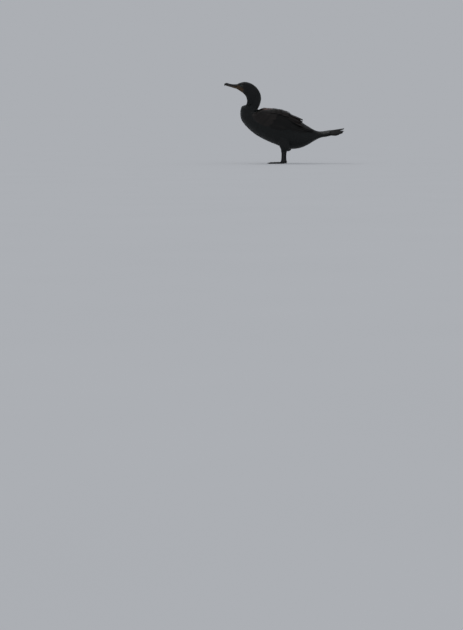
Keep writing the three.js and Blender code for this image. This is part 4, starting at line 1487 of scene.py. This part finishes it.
@dataclass
class Leg:
    """One leg below the feathers: the shank, the webbed foot and its claws."""

    side: Side
    toe_out: float = 9
    pad: float = 0.82
    voxel: float = 0.55
    toes: tuple[Toe, ...] = (
        Toe(-96, 25, 3.6, 1), Toe(-30, 45, 4, 2), Toe(-3, 66, 4.2, 3), Toe(23, 82, 4.2, 4))

    def origin(self) -> Array:
        """The place under the middle of the leg."""
        return np.array([LEG_X[self.side], self.side.value * LEG_SPREAD, 0])

    def heading(self, angle: Array | float) -> Array:
        """Direction on the floor at an angle outwards from straight ahead."""
        a = np.radians(np.asarray(angle, float) + self.toe_out)
        return np.stack([-np.cos(a), self.side.value * np.sin(a), 0 * a], -1)

    def axes(self, toe: Toe) -> tuple[Array, Array]:
        """Directions on the floor along a toe and across it."""
        along = self.heading(toe.angle)
        return along, np.array([-along[1], along[0], 0])

    def middle(self, toe: Toe, t: Array) -> tuple[Array, Array]:
        """Follows a toe.

        Args:
            toe: The toe.
            t: Shares of its length.

        Returns:
            Its middle and its radius there, in metres.
        """
        swell = 1 + 0.13 * np.cos(2 * math.pi * toe.joints * t)
        r = toe.radius * (1 - 0.32 * t) * swell
        climb = 4 * np.clip(1 - t * toe.length / 16, 0, 1) ** 2
        p = self.heading(toe.angle) * toe.length * t[:, None]
        p[:, 2] = self.pad * r + climb
        return p * MM + self.origin(), r * MM

    def toe(self, toe: Toe) -> Piece:
        """Builds one toe."""
        _, across = self.axes(toe)

        def place(t: Array, turn: Array) -> Array:
            """Points of the toe, flat where it stands."""
            p, r = self.middle(toe, t)
            scutes = 1 + 0.035 * np.sin(t * toe.length * 2.4) * np.clip(np.cos(turn), 0, 1)
            scutes = scutes * np.sqrt(1 - 0.65 * np.clip((t - 0.93) / 0.07, 0, 1) ** 2)
            p = p + across * (r * scutes * np.sin(turn))[:, None]
            p[:, 2] = np.maximum(0, p[:, 2] + r * scutes * np.cos(turn))
            return p

        return sleeve(f"toe_{toe.joints}", 20, 14 * toe.joints + 8, place)

    def web(self, a: Toe, b: Toe) -> Piece:
        """Builds the web between two toes."""
        def place(t: Array, turn: Array) -> Array:
            """Points of the web, its upper face wrinkled across."""
            share, upper = fold(turn)
            angle = a.angle + (b.angle - a.angle) * share
            reach = (a.length + (b.length - a.length) * share) * (1 - 0.2 * np.sin(math.pi * share))
            far = 0.97 * (0.14 + 0.86 * t)
            p = self.heading(angle) * (reach * far)[:, None]
            wrinkle = 0.16 * np.sin(far * reach * 1.1 + 2 * np.sin(share * 9)) * np.sin(math.pi * share)
            p[:, 2] = np.where(upper, 2.1 + 1.4 * (1 - t) + wrinkle, 0.8)
            return p * MM + self.origin()

        return sleeve("web", 44, 40, place, flat_ends=True)

    def build(self) -> None:
        """Builds the shank and foot under one skin, and the claws."""
        word = self.side.word
        shin = Profile(TARSUS, tuple(self.origin()), widest=0)
        foot = loft(f"webbed_foot_{word}", shin, 0, len(TARSUS) - 1, 28, 60)

        def knuckle(t: Array, turn: Array) -> Array:
            """Points of the knuckle where the toes meet."""
            swell = 1 + 0.25 * np.sin(math.pi * np.minimum(1, 1.3 * t))
            p = np.stack([-0.5 + 8.5 * swell * np.cos(turn), 6.2 * swell * np.sin(turn), 12.6 * (1 - t)], -1)
            return p * MM + self.origin()

        combine(foot, [sleeve("knuckle", 28, 14, knuckle)])
        combine(foot, [self.toe(toe) for toe in self.toes])
        combine(foot, [self.web(a, b) for a, b in zip(self.toes, self.toes[1:])])
        self.fuse(foot)
        finish_piece(foot, ScaleFinish().material(), "leg_skin", f"foot_{word}", f"leg_{word}")
        horn = CLAW_HORN.material()
        for i, toe in enumerate(self.toes, 1):
            finish_piece(self.claw(toe, i), horn, "claw_horn", f"claw_{word}_{i}")

    def fuse(self, piece: Piece) -> None:
        """Melts the joined forms of a foot into each other.

        Args:
            piece: The foot.
        """
        pick(piece)
        remesh = piece.modifiers.new("fuse", "REMESH")
        remesh.mode = "VOXEL"
        remesh.voxel_size = self.voxel * MM
        remesh.use_smooth_shade = True
        bpy.ops.object.modifier_apply(modifier=remesh.name)
        soften = piece.modifiers.new("soften", "SMOOTH")
        soften.factor = 0.5
        soften.iterations = 4
        bpy.ops.object.modifier_apply(modifier=soften.name)
        bpy.ops.object.shade_smooth()

    def claw(self, toe: Toe, number: int) -> Piece:
        """Builds one curved claw."""
        along, across = self.axes(toe)
        root, _ = self.middle(toe, np.array([1.0]))
        reach = 10.5 * (0.7 + 0.3 * toe.length / 82)

        def place(t: Array, turn: Array) -> Array:
            """Points of the claw, which arches and then drops to its tip."""
            r = 2.5 * (1 - 0.92 * t)
            p = root[0] + along * ((-1.2 + (reach + 1.4) * t) * MM)[:, None]
            p[:, 2] += (1.6 * np.sin(math.pi * 0.75 * t) - (root[0][2] / MM - 1.2) * t * t) * MM
            p = p + across * (0.8 * r * np.sin(turn) * MM)[:, None]
            p[:, 2] = np.maximum(0.3 * MM, p[:, 2] + r * np.cos(turn) * MM)
            return p

        return sleeve(f"claw_horn_{self.side.word}_{number}", 16, 20, place)


# The set

@dataclass
class Studio:
    """A plain pale floor under an even sky, and the camera that sees the bird as the photograph does."""

    at: tuple[float, float, float] = (0.0, -10.0, 0.24)
    turn: tuple[float, float, float] = (1.4707873068645796, 0.0, 0.026189408991831382)
    lens: float = 113.68226988353175
    sky: Colour = (0.412, 0.428, 0.456)
    floor_albedo: float = 0.55
    sun: float = 0.55
    sun_height: float = 62.0

    def camera(self) -> None:
        """Places the camera where origin and scale fall as in the photograph, at 5 mm for each pixel."""
        data = bpy.data.cameras.new("Camera")
        camera = bpy.data.objects.new("Camera", data)
        bpy.context.collection.objects.link(camera)
        bpy.context.scene.camera = camera
        camera.location = self.at
        camera.rotation_euler = self.turn
        data.lens = self.lens
        data.clip_end = 400

    def floor(self) -> None:
        """Lays a wide round floor whose far edge has the sky's own brightness."""
        deselect()
        bpy.ops.mesh.primitive_circle_add(vertices=96, radius=150, fill_type="NGON", location=(0, 0, 0))
        piece = settle(named("floor"))
        paint = Surface("Floor", {"Specular IOR Level": 0.0, "Roughness": 1.0})
        speck = paint.noise(paint.place(), 3.0, 2)
        shade = paint.ramp(speck, 0.0, 1.0, self.floor_albedo * 0.985, self.floor_albedo * 1.015)
        grey = paint.node("ShaderNodeCombineColor")
        for name in ("Red", "Green", "Blue"):
            paint.feed(grey.inputs[name], shade)
        lit = self.floor_albedo * self.sun * math.sin(math.radians(self.sun_height)) / math.pi
        glow = tuple(c * (1 - self.floor_albedo) - lit for c in self.sky)
        paint.feed(paint.shader.inputs["Emission Color"], glow)
        paint.feed(paint.shader.inputs["Emission Strength"], 1.0)
        piece.data.materials.append(paint.dress(grey.outputs[0]))

    def light(self) -> None:
        """Lights the set with an even sky and one soft sun from above and behind."""
        world = bpy.data.worlds.new("Sky")
        world.use_nodes = True
        background = world.node_tree.nodes["Background"]
        background.inputs["Color"].default_value = (*self.sky, 1)
        bpy.context.scene.world = world
        data = bpy.data.lights.new("Sun", "SUN")
        data.energy = self.sun
        data.angle = math.radians(35)
        sun = bpy.data.objects.new("Sun", data)
        sun.rotation_euler = (math.radians(-20), math.radians(-20), 0)
        bpy.context.collection.objects.link(sun)
        bpy.context.scene.view_settings.view_transform = "Standard"

    def build(self) -> None:
        """Builds camera, floor and light."""
        self.camera()
        self.floor()
        self.light()


def main() -> None:
    """Builds the set and then the bird."""
    logging.basicConfig(level=logging.INFO, format="%(name)s: %(message)s")
    Studio().build()
    Trunk().build()
    for side in Side:
        Wing(side).build()
        Leg(side).build()
    Tail().build()
    Bill().build()
    Eyes().build()
    LOG.info("model written")


if __name__ == "__main__":
    main()
